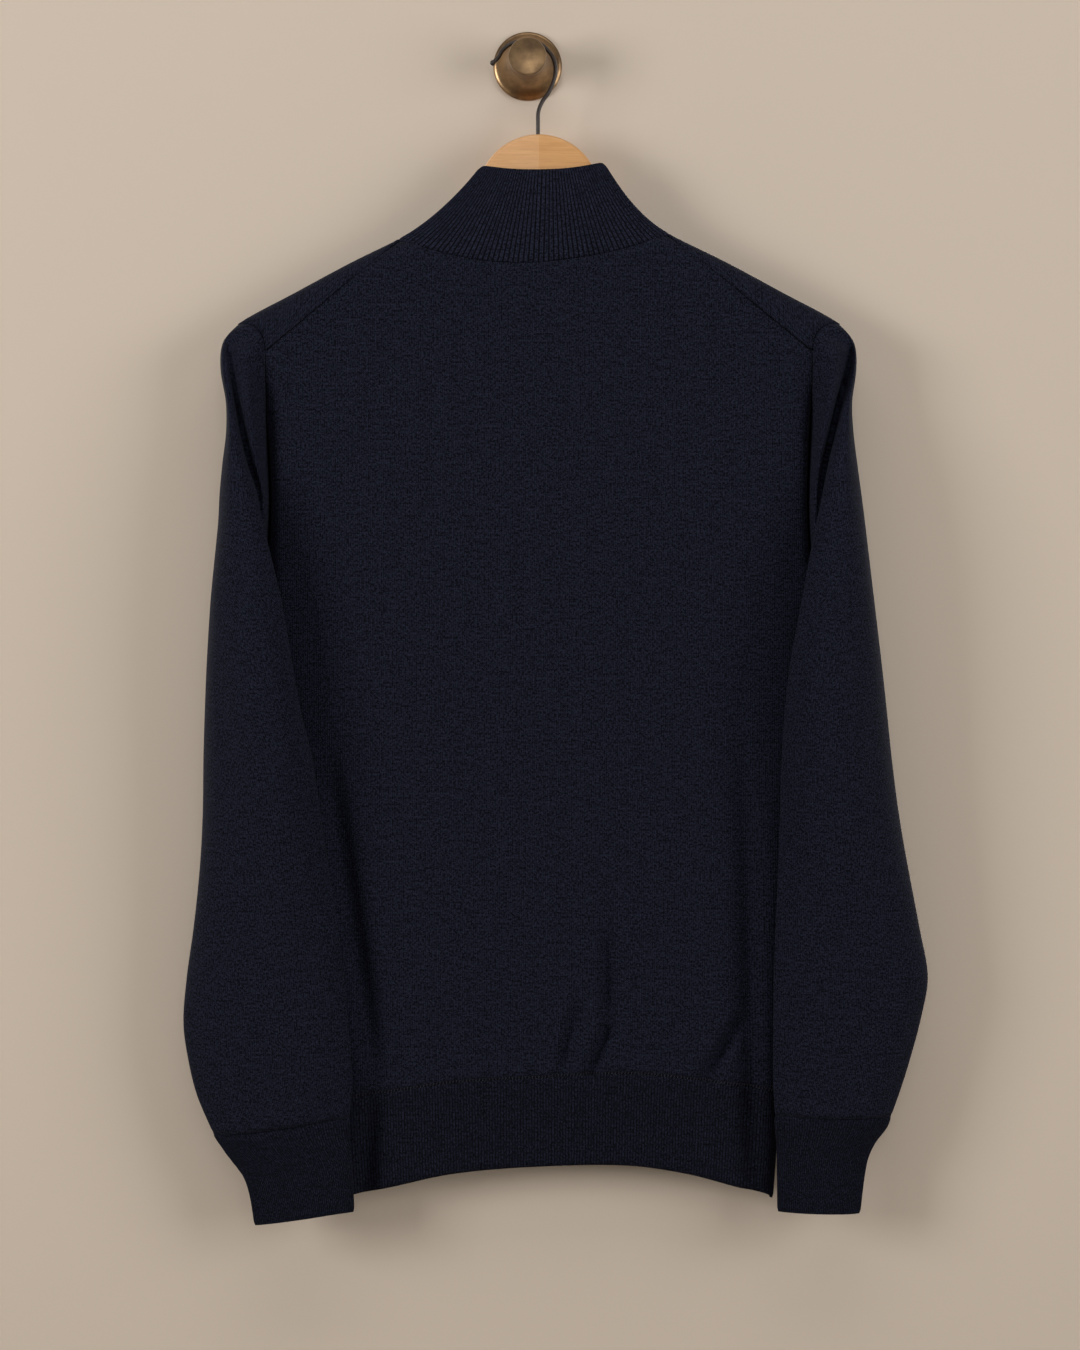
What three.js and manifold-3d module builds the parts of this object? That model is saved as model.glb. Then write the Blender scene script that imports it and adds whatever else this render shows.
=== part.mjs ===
// Quarter zip sweater on a wooden hanger, hung from a round brass wall knob.
// Millimetres, +Z up. The origin is the centre of the knob's back face, which lies on the wall
// plane y = 0. The garment hangs with its zipped front to the wall (+Y) and its back to the room (-Y).
import * as THREE from 'three';
import { mergeVertices } from 'three/addons/utils/BufferGeometryUtils.js';
import Module from 'manifold-3d';

// Driving dimensions
const centre = 8.4;          // x of the garment's centre line: the hook leans a little on its knob
const jersey = 1.6;          // thickness of the knitted body cloth
const rib = 2.4;             // thickness of the ribbed hem, cuffs and collar
const seam = 0.5;            // clear width left along every sewn seam
const ridgeDrop = 19.4;      // height over which the cloth rounds over the hanger's arm
const bow = 5;               // how far the shoulders swing towards the wall at their tips
const tipReach = 220;        // distance from the centre line at which that bow is measured
const underarm = -412;       // height of the underarm point
const collarCentre = 4.5;    // x of the middle of the neck seam
const collarTopCentre = 11;  // x of the middle of the collar's top edge
const neckReach = 101;       // half width of the neck seam
const neckBackDrop = 20;     // the neck seam at centre back, below its sides
const neckFrontDrop = 85;    // the neck seam at centre front, below its sides
const zipLength = 140;       // zip below the neck seam
const zipSlit = 5;           // half width of the slit that shows the zip
const tapeWide = 12;         // width of each zip tape
const tapeThick = 1;
const wireRadius = 1.5;      // the hanger's hook
const woodThick = 13;

// A table is a list of rows with named columns
const table = (names, rows) => {
  const keys = names.split(' ');
  return rows.map((row) => Object.fromEntries(keys.map((key, k) => [key, row[k]])));
};

// Ridge of the shoulder, over the hanger's arm: height at each distance out from the centre line
const shoulder = table('out z', [
  [0, -80], [101, -131.5], [139, -150], [183, -173.4], [214, -189.6], [223, -196], [230, -205], [234, -216],
]);

// Hanging body, by height: half width, length and depth of its rounded sides, and its middle plane
const body = table('z half round depth mid', [
  [-80, 228, 17, 15.5, -32.5], [-340, 228, 17, 15.5, -31.2], [-370, 219, 17, 15.5, -30.8],
  [-412, 203, 17, 15.8, -30], [-470, 200, 19, 15.7, -29], [-530, 196, 22, 15.4, -28],
  [-600, 191, 25, 15, -27], [-680, 184, 27, 14.5, -26], [-735, 178.5, 27, 14.2, -25.4],
  [-765, 175, 26, 13.2, -25], [-800, 172, 25, 12.4, -24.5], [-850, 171, 24, 12, -24],
]);

// Armhole seam on the front and on the back, by height: distance round the body from its centre
const armhole = table('z round', [
  [-216, 199.8], [-262, 199.6], [-290, 198.5], [-325, 197.5], [-360, 199], [-385, 202], [-400, 205.5],
  [-412, 211.8],
]);

// The armhole seam over the shoulder: distance down the cloth from the ridge, and out from the centre
const armholeTop = table('below out', [
  [0, 222], [6, 219.5], [12, 214.5], [19, 208.5], [26, 203.5], [33, 200.8], [41.2, 199.8],
]);

// Hem band, across the body from side to side: height of its seam and of its edge
const hem = table('across seam edge', [
  [-1, -769, -846], [-0.8, -763.5, -837], [-0.6, -758.5, -829], [-0.35, -751.5, -819.5], [0, -747.6, -814],
  [0.35, -744.6, -813.2], [0.6, -748.8, -819.5], [0.8, -754, -829], [1, -761, -839],
]);

// Creases of the body: a soft trough from one point to another, its width and its depth
const backCreases = table('x0 z0 x1 z1 width depth', [
  [58, -745, 60, -655, 5, 5], [58, -655, 52, -610, 6, 2.5], [26, -742, 34, -718, 4, 2.5],
  [128, -750, 156, -672, 6, 6], [164, -760, 160, -560, 8, 5], [-104, -758, -108, -715, 5, 4],
  [-148, -700, -158, -560, 9, 4],
]);
const frontCreases = table('x0 z0 x1 z1 width depth', [
  [-60, -745, -48, -640, 6, 4], [88, -748, 104, -650, 6, 4.5], [20, -742, 24, -700, 5, 2.5],
  [-120, -640, -138, -500, 9, 3], [126, -560, 148, -430, 9, 3],
]);

// Sleeves, by height. Every row is one horizontal section: seam is the sleeve's own underarm seam,
// panel the strip beside the armhole, tuck the bottom of the long crease, edge the fold that
// laps over the body, face the broad front of the sleeve, outer its outline, wall its far side.
// A plain name is a distance out from the centre line, a name with Y is a place along Y.
const sleeveNames = 'z seam seamY panel panelY tuck tuckY edge edgeY faceY outer outerY wallY';
const leftSleeve = table(sleeveNames, [
  [-196, 204, -30, 214, -40, 221, -38, 222, -37, -36, 224, -28, -15],
  [-208, 204, -30, 216, -47, 226, -42, 228, -42, -42, 231.5, -29, -13],
  [-222, 204, -30, 214, -53, 226, -46.5, 228.5, -49, -48, 234.3, -32, -12],
  [-262, 204, -30, 210.5, -57, 219, -50, 221.9, -55, -57, 228.4, -38, -11.5],
  [-294, 204, -30, 207, -56, 212, -50, 215.3, -60, -65, 231.3, -40, -9.5],
  [-325, 204, -30, 201, -50.5, 203, -50.5, 205.1, -64, -73, 234.3, -41, -8.5],
  [-341, 204, -30, 201, -49.5, 203, -51.5, 200.6, -65, -76, 235, -42, -8.5],
  [-395, 204, -30, 205, -45, 202, -51, 187.5, -67, -81, 240, -43, -8],
  [-470, 204.5, -29, 197, -45, 184, -49.5, 175.1, -62, -84, 243.8, -42, -8],
  [-515, 202, -28, 194, -44, 174, -48.5, 164.2, -58, -82, 245.9, -41, -8],
  [-581, 197, -27, 188, -42.5, 164, -46.5, 154.7, -55, -77, 248.1, -40, -9],
  [-640, 193, -27, 182, -41.5, 156, -45, 146.7, -52, -72, 253.2, -38, -11],
  [-705, 187, -27, 176, -40.5, 149, -43.5, 139.4, -50, -67, 260.5, -38, -15],
  [-749, 182, -29, 172, -40.5, 146, -43, 135.7, -49, -62.5, 251.8, -40, -21],
  [-771, 179, -32, 169, -40.5, 146, -42.5, 137.2, -48.5, -59.5, 242.3, -43, -27],
  [-790, 177, -35, 167, -40.5, 147, -42.5, 138.4, -48.5, -58, 229.5, -45.5, -32],
  [-807, 175, -36.5, 165, -40.5, 147, -43, 136.8, -49, -57, 216.7, -47, -35],
  [-822, 173, -37, 164, -40.5, 146, -43, 135.8, -49, -56.5, 211.6, -47, -36],
  [-860, 171, -37.5, 162, -40.5, 144, -43, 134.3, -49, -56, 205.8, -47, -36.5],
]);
const rightSleeve = table(sleeveNames, [
  [-196, 204, -30, 214, -40, 221, -38, 222, -37, -36, 223.5, -28, -15],
  [-208, 204, -30, 216, -48, 226, -40, 228, -39, -40, 231, -29, -13],
  [-222, 204, -30, 215, -55, 228, -38, 230.6, -41, -42, 233.7, -32, -12],
  [-252, 204, -30, 212, -57, 220.5, -42, 223, -48, -51, 229.6, -38, -12],
  [-281, 204, -30, 207, -57, 213.5, -45, 216.5, -56, -62, 230.8, -40, -10],
  [-307, 204, -30, 203.5, -53, 207.5, -48, 210.3, -62, -69, 234.4, -41, -9],
  [-346, 204, -30, 201, -49.5, 203.5, -51.5, 200.4, -65, -77, 239.5, -42, -8.5],
  [-399, 204, -30, 205, -45, 203, -51, 190.6, -67, -82, 245.4, -43, -8],
  [-458, 205, -29, 198, -45.5, 190.5, -50, 181.1, -62, -84, 251.9, -42, -8],
  [-530, 201, -28, 194, -43.5, 184, -48.5, 175.3, -57, -80, 260.7, -41, -8],
  [-581, 197.5, -27, 190, -42.5, 183, -47.5, 174.5, -55, -76, 268.7, -40, -9],
  [-654, 192.5, -27, 186, -41.5, 181, -46, 172.4, -52, -71, 281.5, -38, -11],
  [-672, 191, -27, 185, -41, 180, -45.5, 171.8, -51.5, -70, 284.8, -38, -12],
  [-705, 188.5, -27, 183.5, -40.5, 179.5, -45, 170.9, -50, -67, 279.6, -38, -15],
  [-749, 185.5, -29, 181.5, -40.5, 178.5, -44, 170.5, -49, -62, 267.3, -40, -21],
  [-780, 184.5, -32, 181, -40, 179, -43.5, 172.3, -48, -58, 255.6, -42, -27],
  [-793, 184.5, -33.5, 181, -39.5, 179.5, -43, 173.5, -47, -56, 246.1, -42.5, -29.5],
  [-807, 184.5, -34.5, 181, -39.5, 179.5, -42.5, 174, -46, -54.5, 240.2, -43, -31.5],
  [-850, 184.5, -35, 181, -39.5, 180, -42, 174.5, -45.5, -53, 234.4, -43, -32],
]);
// How far each side's cuff seam and cuff edge drop from the body side to the outer side
const leftCuff = { seamTop: -776, edge: -845, tilt: 12 };
const rightCuff = { seamTop: -773, edge: -844, tilt: 3 };

// Smooth reading of a table's column at any place along another column
function read(rows, along, key, at) {
  const last = rows.length - 1;
  const rising = rows[last][along] > rows[0][along] ? 1 : -1;
  const past = rows.findIndex((row) => rising * (row[along] - at) >= 0);
  if (past < 0) return rows[last][key];
  if (past === 0) return rows[0][key];
  const slope = (k) => {
    const before = rows[Math.max(k - 1, 0)];
    const after = rows[Math.min(k + 1, last)];
    return (after[key] - before[key]) / (after[along] - before[along]);
  };
  const from = rows[past - 1];
  const to = rows[past];
  const span = to[along] - from[along];
  const t = (at - from[along]) / span;
  const ease = t * t * (3 - 2 * t);
  return from[key] + (to[key] - from[key]) * ease
    + span * (slope(past - 1) * t * (1 - t) * (1 - t) - slope(past) * t * t * (1 - t));
}

const mix = THREE.MathUtils.lerp;
const quarterArc = (a, b) => (Math.PI / 2) * Math.sqrt((a * a + b * b) / 2);
const ridge = (out) => read(shoulder, 'out', 'z', Math.abs(out));
const halfRound = (z) => {
  const round = read(body, 'z', 'round', z);
  return read(body, 'z', 'half', z) - round + quarterArc(round, read(body, 'z', 'depth', z));
};
const ridgeArc = quarterArc(ridgeDrop, body[0].depth);

// Height, unrolled over the shoulder, of a point that lies so far below the ridge along the front
const unrolled = (out, below) => ridge(out) - ridgeDrop + ridgeArc - below;

// Depth of a soft trough at a point: full along its line, fading to nothing past both ends
function creaseDepth(creases, x, z) {
  let depth = 0;
  for (const crease of creases) {
    const along = new THREE.Vector2(crease.x1 - crease.x0, crease.z1 - crease.z0);
    const from = new THREE.Vector2(x - crease.x0, z - crease.z0);
    const length = along.length();
    const t = from.dot(along) / (length * length);
    const off = Math.abs(from.cross(along)) / length;
    const fade = Math.max(0, 1 - Math.pow(Math.abs(2 * t - 1) / 1.15, 3));
    depth += crease.depth * fade * Math.exp(-Math.pow(off / crease.width, 2));
  }
  return depth;
}

// A point of the body's outer surface. face is -1 for the back and 1 for the front, round the
// distance from that face's centre line, height its height, carried on past the ridge of the
// shoulder as if the cloth were unrolled.
function skin(face, round, height) {
  const side = Math.sign(round) || 1;
  const roundLength = read(body, 'z', 'round', height);
  const depth = read(body, 'z', 'depth', height);
  const flat = read(body, 'z', 'half', height) - roundLength;
  const sideTurn = Math.max(0, Math.abs(round) - flat) / quarterArc(roundLength, depth) * Math.PI / 2;
  const out = Math.min(Math.abs(round), flat) + roundLength * Math.sin(sideTurn);
  const top = ridge(out);
  const rise = height - (top - ridgeDrop);
  const overTurn = THREE.MathUtils.clamp(rise / ridgeArc, 0, 2) * Math.PI / 2;
  let z = height;
  if (rise > 0) z = top - ridgeDrop * (1 - Math.sin(overTurn));
  if (rise > 2 * ridgeArc) z = top - ridgeDrop - (rise - 2 * ridgeArc);
  const x = centre + side * out;
  const turned = Math.cos(sideTurn) * Math.cos(overTurn);
  const trough = creaseDepth(face * turned < 0 ? backCreases : frontCreases, x, z);
  const y = read(body, 'z', 'mid', height) + bow * (out / tipReach) ** 2 + face * turned * (depth - trough);
  return new THREE.Vector3(x, y, z);
}

// The same point with its outward direction, so that walls which meet at a seam turn alike
function skinPoint(face, round, height) {
  const step = 0.4;
  const point = skin(face, round, height);
  const down = skin(face, round, height - step).sub(skin(face, round, height + step));
  const onward = skin(face, round + step, height).sub(skin(face, round - step, height));
  point.outward = down.cross(onward).multiplyScalar(-face).normalize();
  return point;
}

// Closed wall of cloth from a grid of points on its outer side. Rows run down and columns run to
// the right as seen from outside. wraps(row) joins a row's last point to its first, keeps(row,
// column) leaves a cell out.
function wall(rows, thick, wraps = () => false, keeps = () => true) {
  const across = rows[0].length;
  const corner = (i, j) => i * across + (j === across - 1 && wraps(i) ? 0 : j);
  const outer = rows.flat();
  const quads = [];
  for (let i = 0; i < rows.length - 1; i += 1) {
    for (let j = 0; j < across - 1; j += 1) {
      if (keeps(i, j)) quads.push([corner(i, j), corner(i + 1, j), corner(i + 1, j + 1), corner(i, j + 1)]);
    }
  }
  const normals = outer.map(() => new THREE.Vector3());
  for (const quad of quads) {
    const [a, b, c, d] = quad.map((at) => outer[at]);
    const normal = c.clone().sub(a).cross(d.clone().sub(b));
    quad.forEach((at) => normals[at].add(normal));
    const bulge = a.clone().add(c).sub(b).sub(d);
    if (bulge.dot(normal) < 0) quad.push(quad.shift());
  }
  normals.forEach((normal, k) => (outer[k].outward ? normal.copy(outer[k].outward) : normal.normalize()));
  const inner = outer.map((point, k) => point.clone().addScaledVector(normals[k], -thick));
  const count = outer.length;
  const edges = new Set();
  const indices = [];
  const face = (a, b, c, d) => indices.push(a, b, c, a, c, d);
  for (const quad of quads) {
    face(...quad);
    face(...quad.map((at) => at + count).reverse());
    quad.forEach((at, k) => edges.add(`${at}:${quad[(k + 1) % 4]}`));
  }
  for (const edge of edges) {
    const [a, b] = edge.split(':').map(Number);
    if (!edges.has(`${b}:${a}`)) face(b, a, a + count, b + count);
  }
  const points = [...outer, ...inner];
  const geometry = new THREE.BufferGeometry();
  geometry.setAttribute('position', new THREE.Float32BufferAttribute(points.flatMap((p) => p.toArray()), 3));
  geometry.setIndex(indices);
  return dropUnused(geometry);
}

// Leaves out the points that no face uses
function dropUnused(geometry) {
  const flat = geometry.toNonIndexed();
  return mergeVertices(flat, 1e-4);
}

// Grid between four edges, each a function from a share of its length to a round and a height
function patch(top, bottom, left, right, across, down) {
  return down.map((t) => across.map((f) => {
    const g = (f + 1) / 2;
    const blend = (k) => mix(top(f)[k], bottom(f)[k], t) + mix(left(t)[k], right(t)[k], g)
      - mix(mix(top(-1)[k], top(1)[k], g), mix(bottom(-1)[k], bottom(1)[k], g), t);
    return [blend(0), blend(1)];
  }));
}

// The side edge of a panel: a list of rounds and heights, from its top to the hem
const sideLevels = [-412, -445, -485, -530, -575, -620, -660, -695, -722, -745];
function sideEdge(side, start) {
  const armholeRows = armhole.slice(0, -1).map((row) => [row.round - seam / 2, row.z]);
  const sideRows = sideLevels.map((z) => [halfRound(z) - seam / 2, z]);
  const seamZ = read(hem, 'across', 'seam', side) + seam / 2;
  const rows = [...start, ...armholeRows, ...sideRows, [halfRound(seamZ) - seam / 2, seamZ]];
  return rows.map(([round, z]) => [side * round, z]);
}
const edgeShares = (rows) => {
  const top = rows[0][1];
  const fall = rows[rows.length - 1][1] - top;
  return rows.map(([, z]) => (z - top) / fall);
};
const edgeReader = (rows) => {
  const places = edgeShares(rows);
  return (t) => {
    const k = THREE.MathUtils.clamp(places.findIndex((place) => place >= t - 1e-9) - 1, 0, rows.length - 2);
    const share = (t - places[k]) / (places[k + 1] - places[k]);
    return [mix(rows[k][0], rows[k + 1][0], share), mix(rows[k][1], rows[k + 1][1], share)];
  };
};

// Neck seam: turn is 0 at centre back, 90 at a side and 180 at centre front, in degrees; grow
// moves it away from the neck hole. Gives its distance out from the centre line and its height.
function neckSeam(turn, grow) {
  const angle = THREE.MathUtils.degToRad(turn);
  const out = (collarCentre - centre) * Math.abs(Math.sin(angle)) + (neckReach + grow) * Math.sin(angle);
  const [left, right] = [-1, 1].map((side) => ridge(collarCentre - centre + side * (neckReach + grow)));
  const toRight = THREE.MathUtils.clamp(2 * Math.sin(angle), -1, 1);
  const atSide = mix(left, right, 0.5 + 0.5 * Math.sin((Math.PI / 2) * toRight));
  const drop = (Math.cos(angle) > 0 ? neckBackDrop : neckFrontDrop) + grow;
  return { out, z: atSide - drop * Math.cos(angle) ** 2 };
}

// How far along the cloth a height lies below the ridge
function belowRidge(out, z) {
  const fall = Math.max(0, ridge(out) - z);
  if (fall > ridgeDrop) return ridgeArc + fall - ridgeDrop;
  return ridgeArc * (1 - (Math.asin(1 - fall / ridgeDrop) * 2) / Math.PI);
}

// The shoulder seam lies behind the ridge, from the neck seam out to the armhole
const seamTurn = 78;
function shoulderSeam(side, t, lift) {
  const start = neckSeam(side * seamTurn, seam / 2);
  const end = armhole[0];
  return { out: mix(start.out, side * (end.round - seam / 2), t), z: mix(start.z, end.z, t) + lift };
}

const backNeckShare = 0.55;
function backTop(f) {
  const side = Math.sign(f);
  const t = (Math.abs(f) - backNeckShare) / (1 - backNeckShare);
  const at = t < 0 ? neckSeam((f / backNeckShare) * seamTurn, seam / 2) : shoulderSeam(side, t, -seam);
  return [at.out, at.z];
}

const frontNeckShare = 0.8;
function frontTop(f) {
  const side = Math.sign(f);
  const t = (Math.abs(f) - frontNeckShare) / (1 - frontNeckShare);
  if (t >= 0) {
    const at = shoulderSeam(side, t, seam);
    return [at.out, unrolled(at.out, -belowRidge(at.out, at.z))];
  }
  const turn = 180 - (Math.abs(f) / frontNeckShare) * (180 - seamTurn);
  const at = neckSeam((side || 1) * turn, seam / 2);
  const below = belowRidge(at.out, at.z) * (turn < 90 ? -1 : 1);
  return [at.out, unrolled(at.out, below)];
}

const hemAt = (key, lift) => (f) => {
  const z = read(hem, 'across', key, f) + lift;
  return [f * (halfRound(z) - seam / 2), z];
};
const shares = [0, 0.13, 0.26, 0.39, 0.52, 0.64, 0.74, 0.82, 0.88, 0.94, 1];
const across = [...shares.slice(1).reverse().map((f) => -f), ...shares];

// Back panel
const evenly = (count) => Array.from({ length: count }, (_, k) => k / (count - 1));
const backGrid = patch(backTop, hemAt('seam', seam / 2), edgeReader(sideEdge(-1, [])),
  edgeReader(sideEdge(1, [])), across, edgeShares(sideEdge(-1, [])));
const backPanel = wall(backGrid.map((row) => row.map(([u, v]) => skinPoint(-1, u, v))), jersey);

// Front panel: it wraps over the shoulders to the back, and is slit for the zip
const seamBelow = armholeTop[armholeTop.length - 1].below;
const overShoulder = [...armholeTop].reverse().map((row) => [row.out, -row.below])
  .concat(armholeTop.slice(1).map((row) => [row.out, row.below]))
  .map(([out, below]) => [out - seam / 2, unrolled(out, below)]);
const frontEdge = (side) => sideEdge(side, overShoulder.slice(0, -1));
const frontShares = [0.025, ...shares.slice(1)];
const frontAcross = [...frontShares.slice().reverse().map((f) => -f), ...frontShares];
const frontGrid = patch(frontTop, hemAt('seam', seam / 2), edgeReader(frontEdge(-1)),
  edgeReader(frontEdge(1)), frontAcross, edgeShares(frontEdge(-1)));
const frontPoints = frontGrid.map((row) => row.map(([u, v]) => skinPoint(1, u, v)).reverse());
const slitCell = frontShares.length - 1;
const zipBottom = frontTop(0)[1] - zipLength;
const slitRows = frontPoints.findIndex((row) => row[slitCell].z < zipBottom);
const frontPanel = wall(frontPoints, jersey, undefined, (i, j) => j !== slitCell || i >= slitRows);

// Hem bands
function hemBand(face) {
  const downwards = [0, 0.35, 0.7, 1];
  const rows = downwards.map((t) => across.map((f) => {
    const z = mix(read(hem, 'across', 'seam', f) - seam / 2, read(hem, 'across', 'edge', f), t);
    return skinPoint(face, f * (halfRound(z) - seam / 2), z);
  }));
  return wall(face > 0 ? rows.map((row) => row.reverse()) : rows, rib);
}

// Standing collar, zipped to its top
function collarTop(turn) {
  const angle = THREE.MathUtils.degToRad(Math.abs(turn));
  const side = Math.sign(turn);
  if (angle <= Math.PI / 2) {
    const x = collarTopCentre + side * 46.5 * Math.sin(angle) ** 0.85;
    return new THREE.Vector3(x, -32 - 14 * Math.cos(angle) ** 0.7, -83 + 6 * Math.sin(angle) ** 2);
  }
  const past = angle - Math.PI / 2;
  const half = 46.5 * Math.cos(past) + 24 * Math.sin(past) ** 2 * Math.sin(2 * past);
  const x = mix(collarTopCentre, centre, Math.sin(past)) + side * half;
  return new THREE.Vector3(x, -32 + 15.5 * Math.sin(past) ** 0.5, -77 - 71 * Math.sin(past) ** 2);
}
const collarGap = 1.4;        // round the neck, whose seam turns in both directions
function collarPoint(turn, t) {
  const base = neckSeam(turn, seam / 2 - collarGap);
  const face = Math.abs(turn) <= 90 ? -1 : 1;
  const start = skin(face, base.out, unrolled(base.out, belowRidge(base.out, base.z)));
  const point = start.clone().lerp(collarTop(turn), t);
  point.z -= 6 * 4 * t * (1 - t) * Math.sin(THREE.MathUtils.degToRad(turn)) ** 2;
  return point;
}
const collarSlit = 2.9;      // degrees from centre front to the edge of the collar's opening
const collarTurns = [0, 15, 30, 45, 58, 70, 80, 90, 100, 110, 122, 135, 150, 165, 180 - collarSlit];
const collarRows = evenly(7).map((t) => [...collarTurns.slice(1).reverse().map((turn) => -turn), ...collarTurns]
  .map((turn) => collarPoint(turn, t)));
collarRows.forEach((row, i) => {
  row[0].x = centre - zipSlit;
  row[row.length - 1].x = centre + zipSlit;
});
const collar = wall(collarRows.reverse(), rib);

// Sleeves and cuffs
const stops = [
  ['seam', 0], ['panel', 0.4], ['tuck', 0.7], ['edge', 0.8], ['brow', 0.88], ['face', 0.95], ['flank', 1],
  ['outer', 1], ['far', 0.9], ['wall', 0.55], ['seam', 0],
];
function sleeveStop(rows, name, z) {
  const at = (key) => read(rows, 'z', key, z);
  const places = {
    seam: () => [at('seam'), at('seamY')],
    panel: () => [at('panel'), at('panelY')],
    tuck: () => [at('tuck'), at('tuckY')],
    edge: () => [at('edge'), at('edgeY')],
    brow: () => [mix(at('edge'), at('outer'), 0.2), mix(at('edgeY'), at('faceY'), 0.8)],
    face: () => [mix(at('edge'), at('outer'), 0.5), at('faceY')],
    flank: () => [mix(at('edge'), at('outer'), 0.87), mix(at('faceY'), at('outerY'), 0.4)],
    outer: () => [at('outer'), at('outerY')],
    far: () => [mix(at('outer'), at('seam'), 0.18), mix(at('outerY'), at('wallY'), 0.75)],
    wall: () => [mix(at('outer'), at('seam'), 0.6), at('wallY')],
  };
  return places[name]();
}
const armGap = 1;            // the sleeves' seams turn most, so they get a wider line
function armholePoint(side, face, z) {
  return skinPoint(face, side * (read(armhole, 'z', 'round', z) + armGap - seam / 2), z);
}
function sleeveRing(rows, side, z, lift, tilt) {
  const closed = z <= underarm;
  const points = stops.map(([name, share], k) => {
    const height = z + lift * share;
    if (name === 'seam' && z > underarm) return armholePoint(side, k ? 1 : -1, z);
    const [out, y] = sleeveStop(rows, name, height);
    const slope = tilt * THREE.MathUtils.clamp((out - 140) / 80, 0, 1);
    return new THREE.Vector3(centre + side * out, y, height - slope);
  });
  if (closed) points.pop();
  const curve = new THREE.CatmullRomCurve3(points, closed, 'centripetal');
  const count = 2 * (stops.length - 1);
  return Array.from({ length: count + 1 }, (_, k) => curve.getPoint(closed && k === count ? 0 : k / count));
}
function sleeveHead(side) {
  const count = 2 * (stops.length - 1);
  return Array.from({ length: count + 1 }, (_, k) => {
    const below = seamBelow * (2 * (k / count) - 1);
    const out = read(armholeTop, 'below', 'out', Math.abs(below));
    return skinPoint(1, side * (out + armGap - seam / 2), unrolled(out, below));
  });
}
const sleeveLevels = [
  [-225, 21], [-234, 20], [-246, 15], [-262, 9], [-279, 4], [-298, 0], [-320, 0], [-341, 0], [-366, 0],
  [-392, 0], [-412, 0], [-440, 0], [-475, 0], [-515, 0], [-558, 0], [-600, 0], [-640, 0], [-674, 0], [-704, 0],
  [-730, 0], [-752, 0],
];
function sleeve(rows, side, cuff) {
  const tiltAt = (z) => cuff.tilt * THREE.MathUtils.clamp((z + 650) / (cuff.seamTop + 650), 0, 1);
  const rings = [
    sleeveHead(side),
    ...sleeveLevels.map(([z, lift]) => sleeveRing(rows, side, z, lift, tiltAt(z))),
    sleeveRing(rows, side, cuff.seamTop + seam / 2, 0, cuff.tilt),
  ];
  const ordered = side < 0 ? rings.map((ring) => ring.reverse()) : rings;
  const closesAt = 1 + sleeveLevels.findIndex(([z]) => z === underarm);
  return wall(ordered, jersey, (i) => i >= closesAt);
}
function cuffBand(rows, side, cuff) {
  const rings = evenly(4).map((t) => mix(cuff.seamTop - seam, cuff.edge, t))
    .map((z) => sleeveRing(rows, side, z, 0, cuff.tilt));
  return wall(side < 0 ? rings.map((ring) => ring.reverse()) : rings, rib, () => true);
}

// Zip: two tapes behind the slit, the closed row of teeth on them, a bottom stop, the slider at
// the top and the tab that hangs from it
const zipTop = collarPoint(180, 1).z - 1;
const zipLevels = evenly(12).map((t) => mix(zipTop, zipBottom - 6, t));
const frontY = (z) => {
  const base = neckSeam(180, 0).z;
  const span = collarPoint(180, 1).z - base;
  return z > base ? collarPoint(180, (z - base) / span).y : skin(1, 0, z).y;
};
const tapeY = (z) => {
  const clothAbove = z > zipBottom + zipLength - 8 ? rib : jersey;
  return Math.min(frontY(z) - jersey, frontY(Math.min(z + 6, zipTop)) - clothAbove) - 0.6;
};
function zipStrip(from, to, lift, thick, levels) {
  const rows = levels.map((z) => [to, from].map((x) => new THREE.Vector3(centre + x, tapeY(z) + lift, z)));
  return wall(rows, thick);
}
const teethHalf = 2.4;
const teethThick = 1.5;
const teethLift = 0.3 + teethThick;
const sliderZ = zipTop - 8;
const lugRadius = 1.9;
const sliderFront = tapeY(sliderZ) + teethLift + 0.3;
const pullAxis = new THREE.Vector3(centre, sliderFront + 2 + lugRadius, sliderZ);

const wasm = await Module();
wasm.setup();
function solid(geometry) {
  geometry.deleteAttribute('normal');
  geometry.deleteAttribute('uv');
  const merged = mergeVertices(geometry, 1e-4);
  return new wasm.Manifold(new wasm.Mesh({
    numProp: 3,
    vertProperties: new Float32Array(merged.attributes.position.array),
    triVerts: new Uint32Array(merged.index.array),
  }));
}
function meshOf(manifold) {
  const mesh = manifold.getMesh();
  const geometry = new THREE.BufferGeometry();
  geometry.setAttribute('position', new THREE.BufferAttribute(mesh.vertProperties, 3));
  geometry.setIndex(new THREE.BufferAttribute(mesh.triVerts, 1));
  return geometry;
}
const joined = (geometries) => meshOf(geometries.map(solid).reduce((sum, next) => sum.add(next)));
// Flat plate drawn in x and z, with its thickness along y from y0
function plate(shape, y0, thick, bevel) {
  const geometry = new THREE.ExtrudeGeometry(shape, {
    depth: thick - 2 * bevel, bevelEnabled: bevel > 0, bevelSize: bevel, bevelThickness: bevel,
    bevelSegments: 1, curveSegments: 3,
  });
  geometry.rotateX(Math.PI / 2);
  geometry.translate(0, y0 + thick - bevel, 0);
  return geometry;
}
function roundedOutline(points, radius) {
  const shape = new THREE.Shape();
  points.forEach((point, k) => {
    const next = points[(k + 1) % points.length];
    const before = points[(k + points.length - 1) % points.length];
    const towards = (other) => point.clone().add(other.clone().sub(point).setLength(radius));
    const start = towards(before);
    const end = towards(next);
    if (k) shape.lineTo(start.x, start.y);
    else shape.moveTo(start.x, start.y);
    shape.quadraticCurveTo(point.x, point.y, end.x, end.y);
  });
  shape.closePath();
  return shape;
}
const at2 = (x, z) => new THREE.Vector2(x, z);
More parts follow.
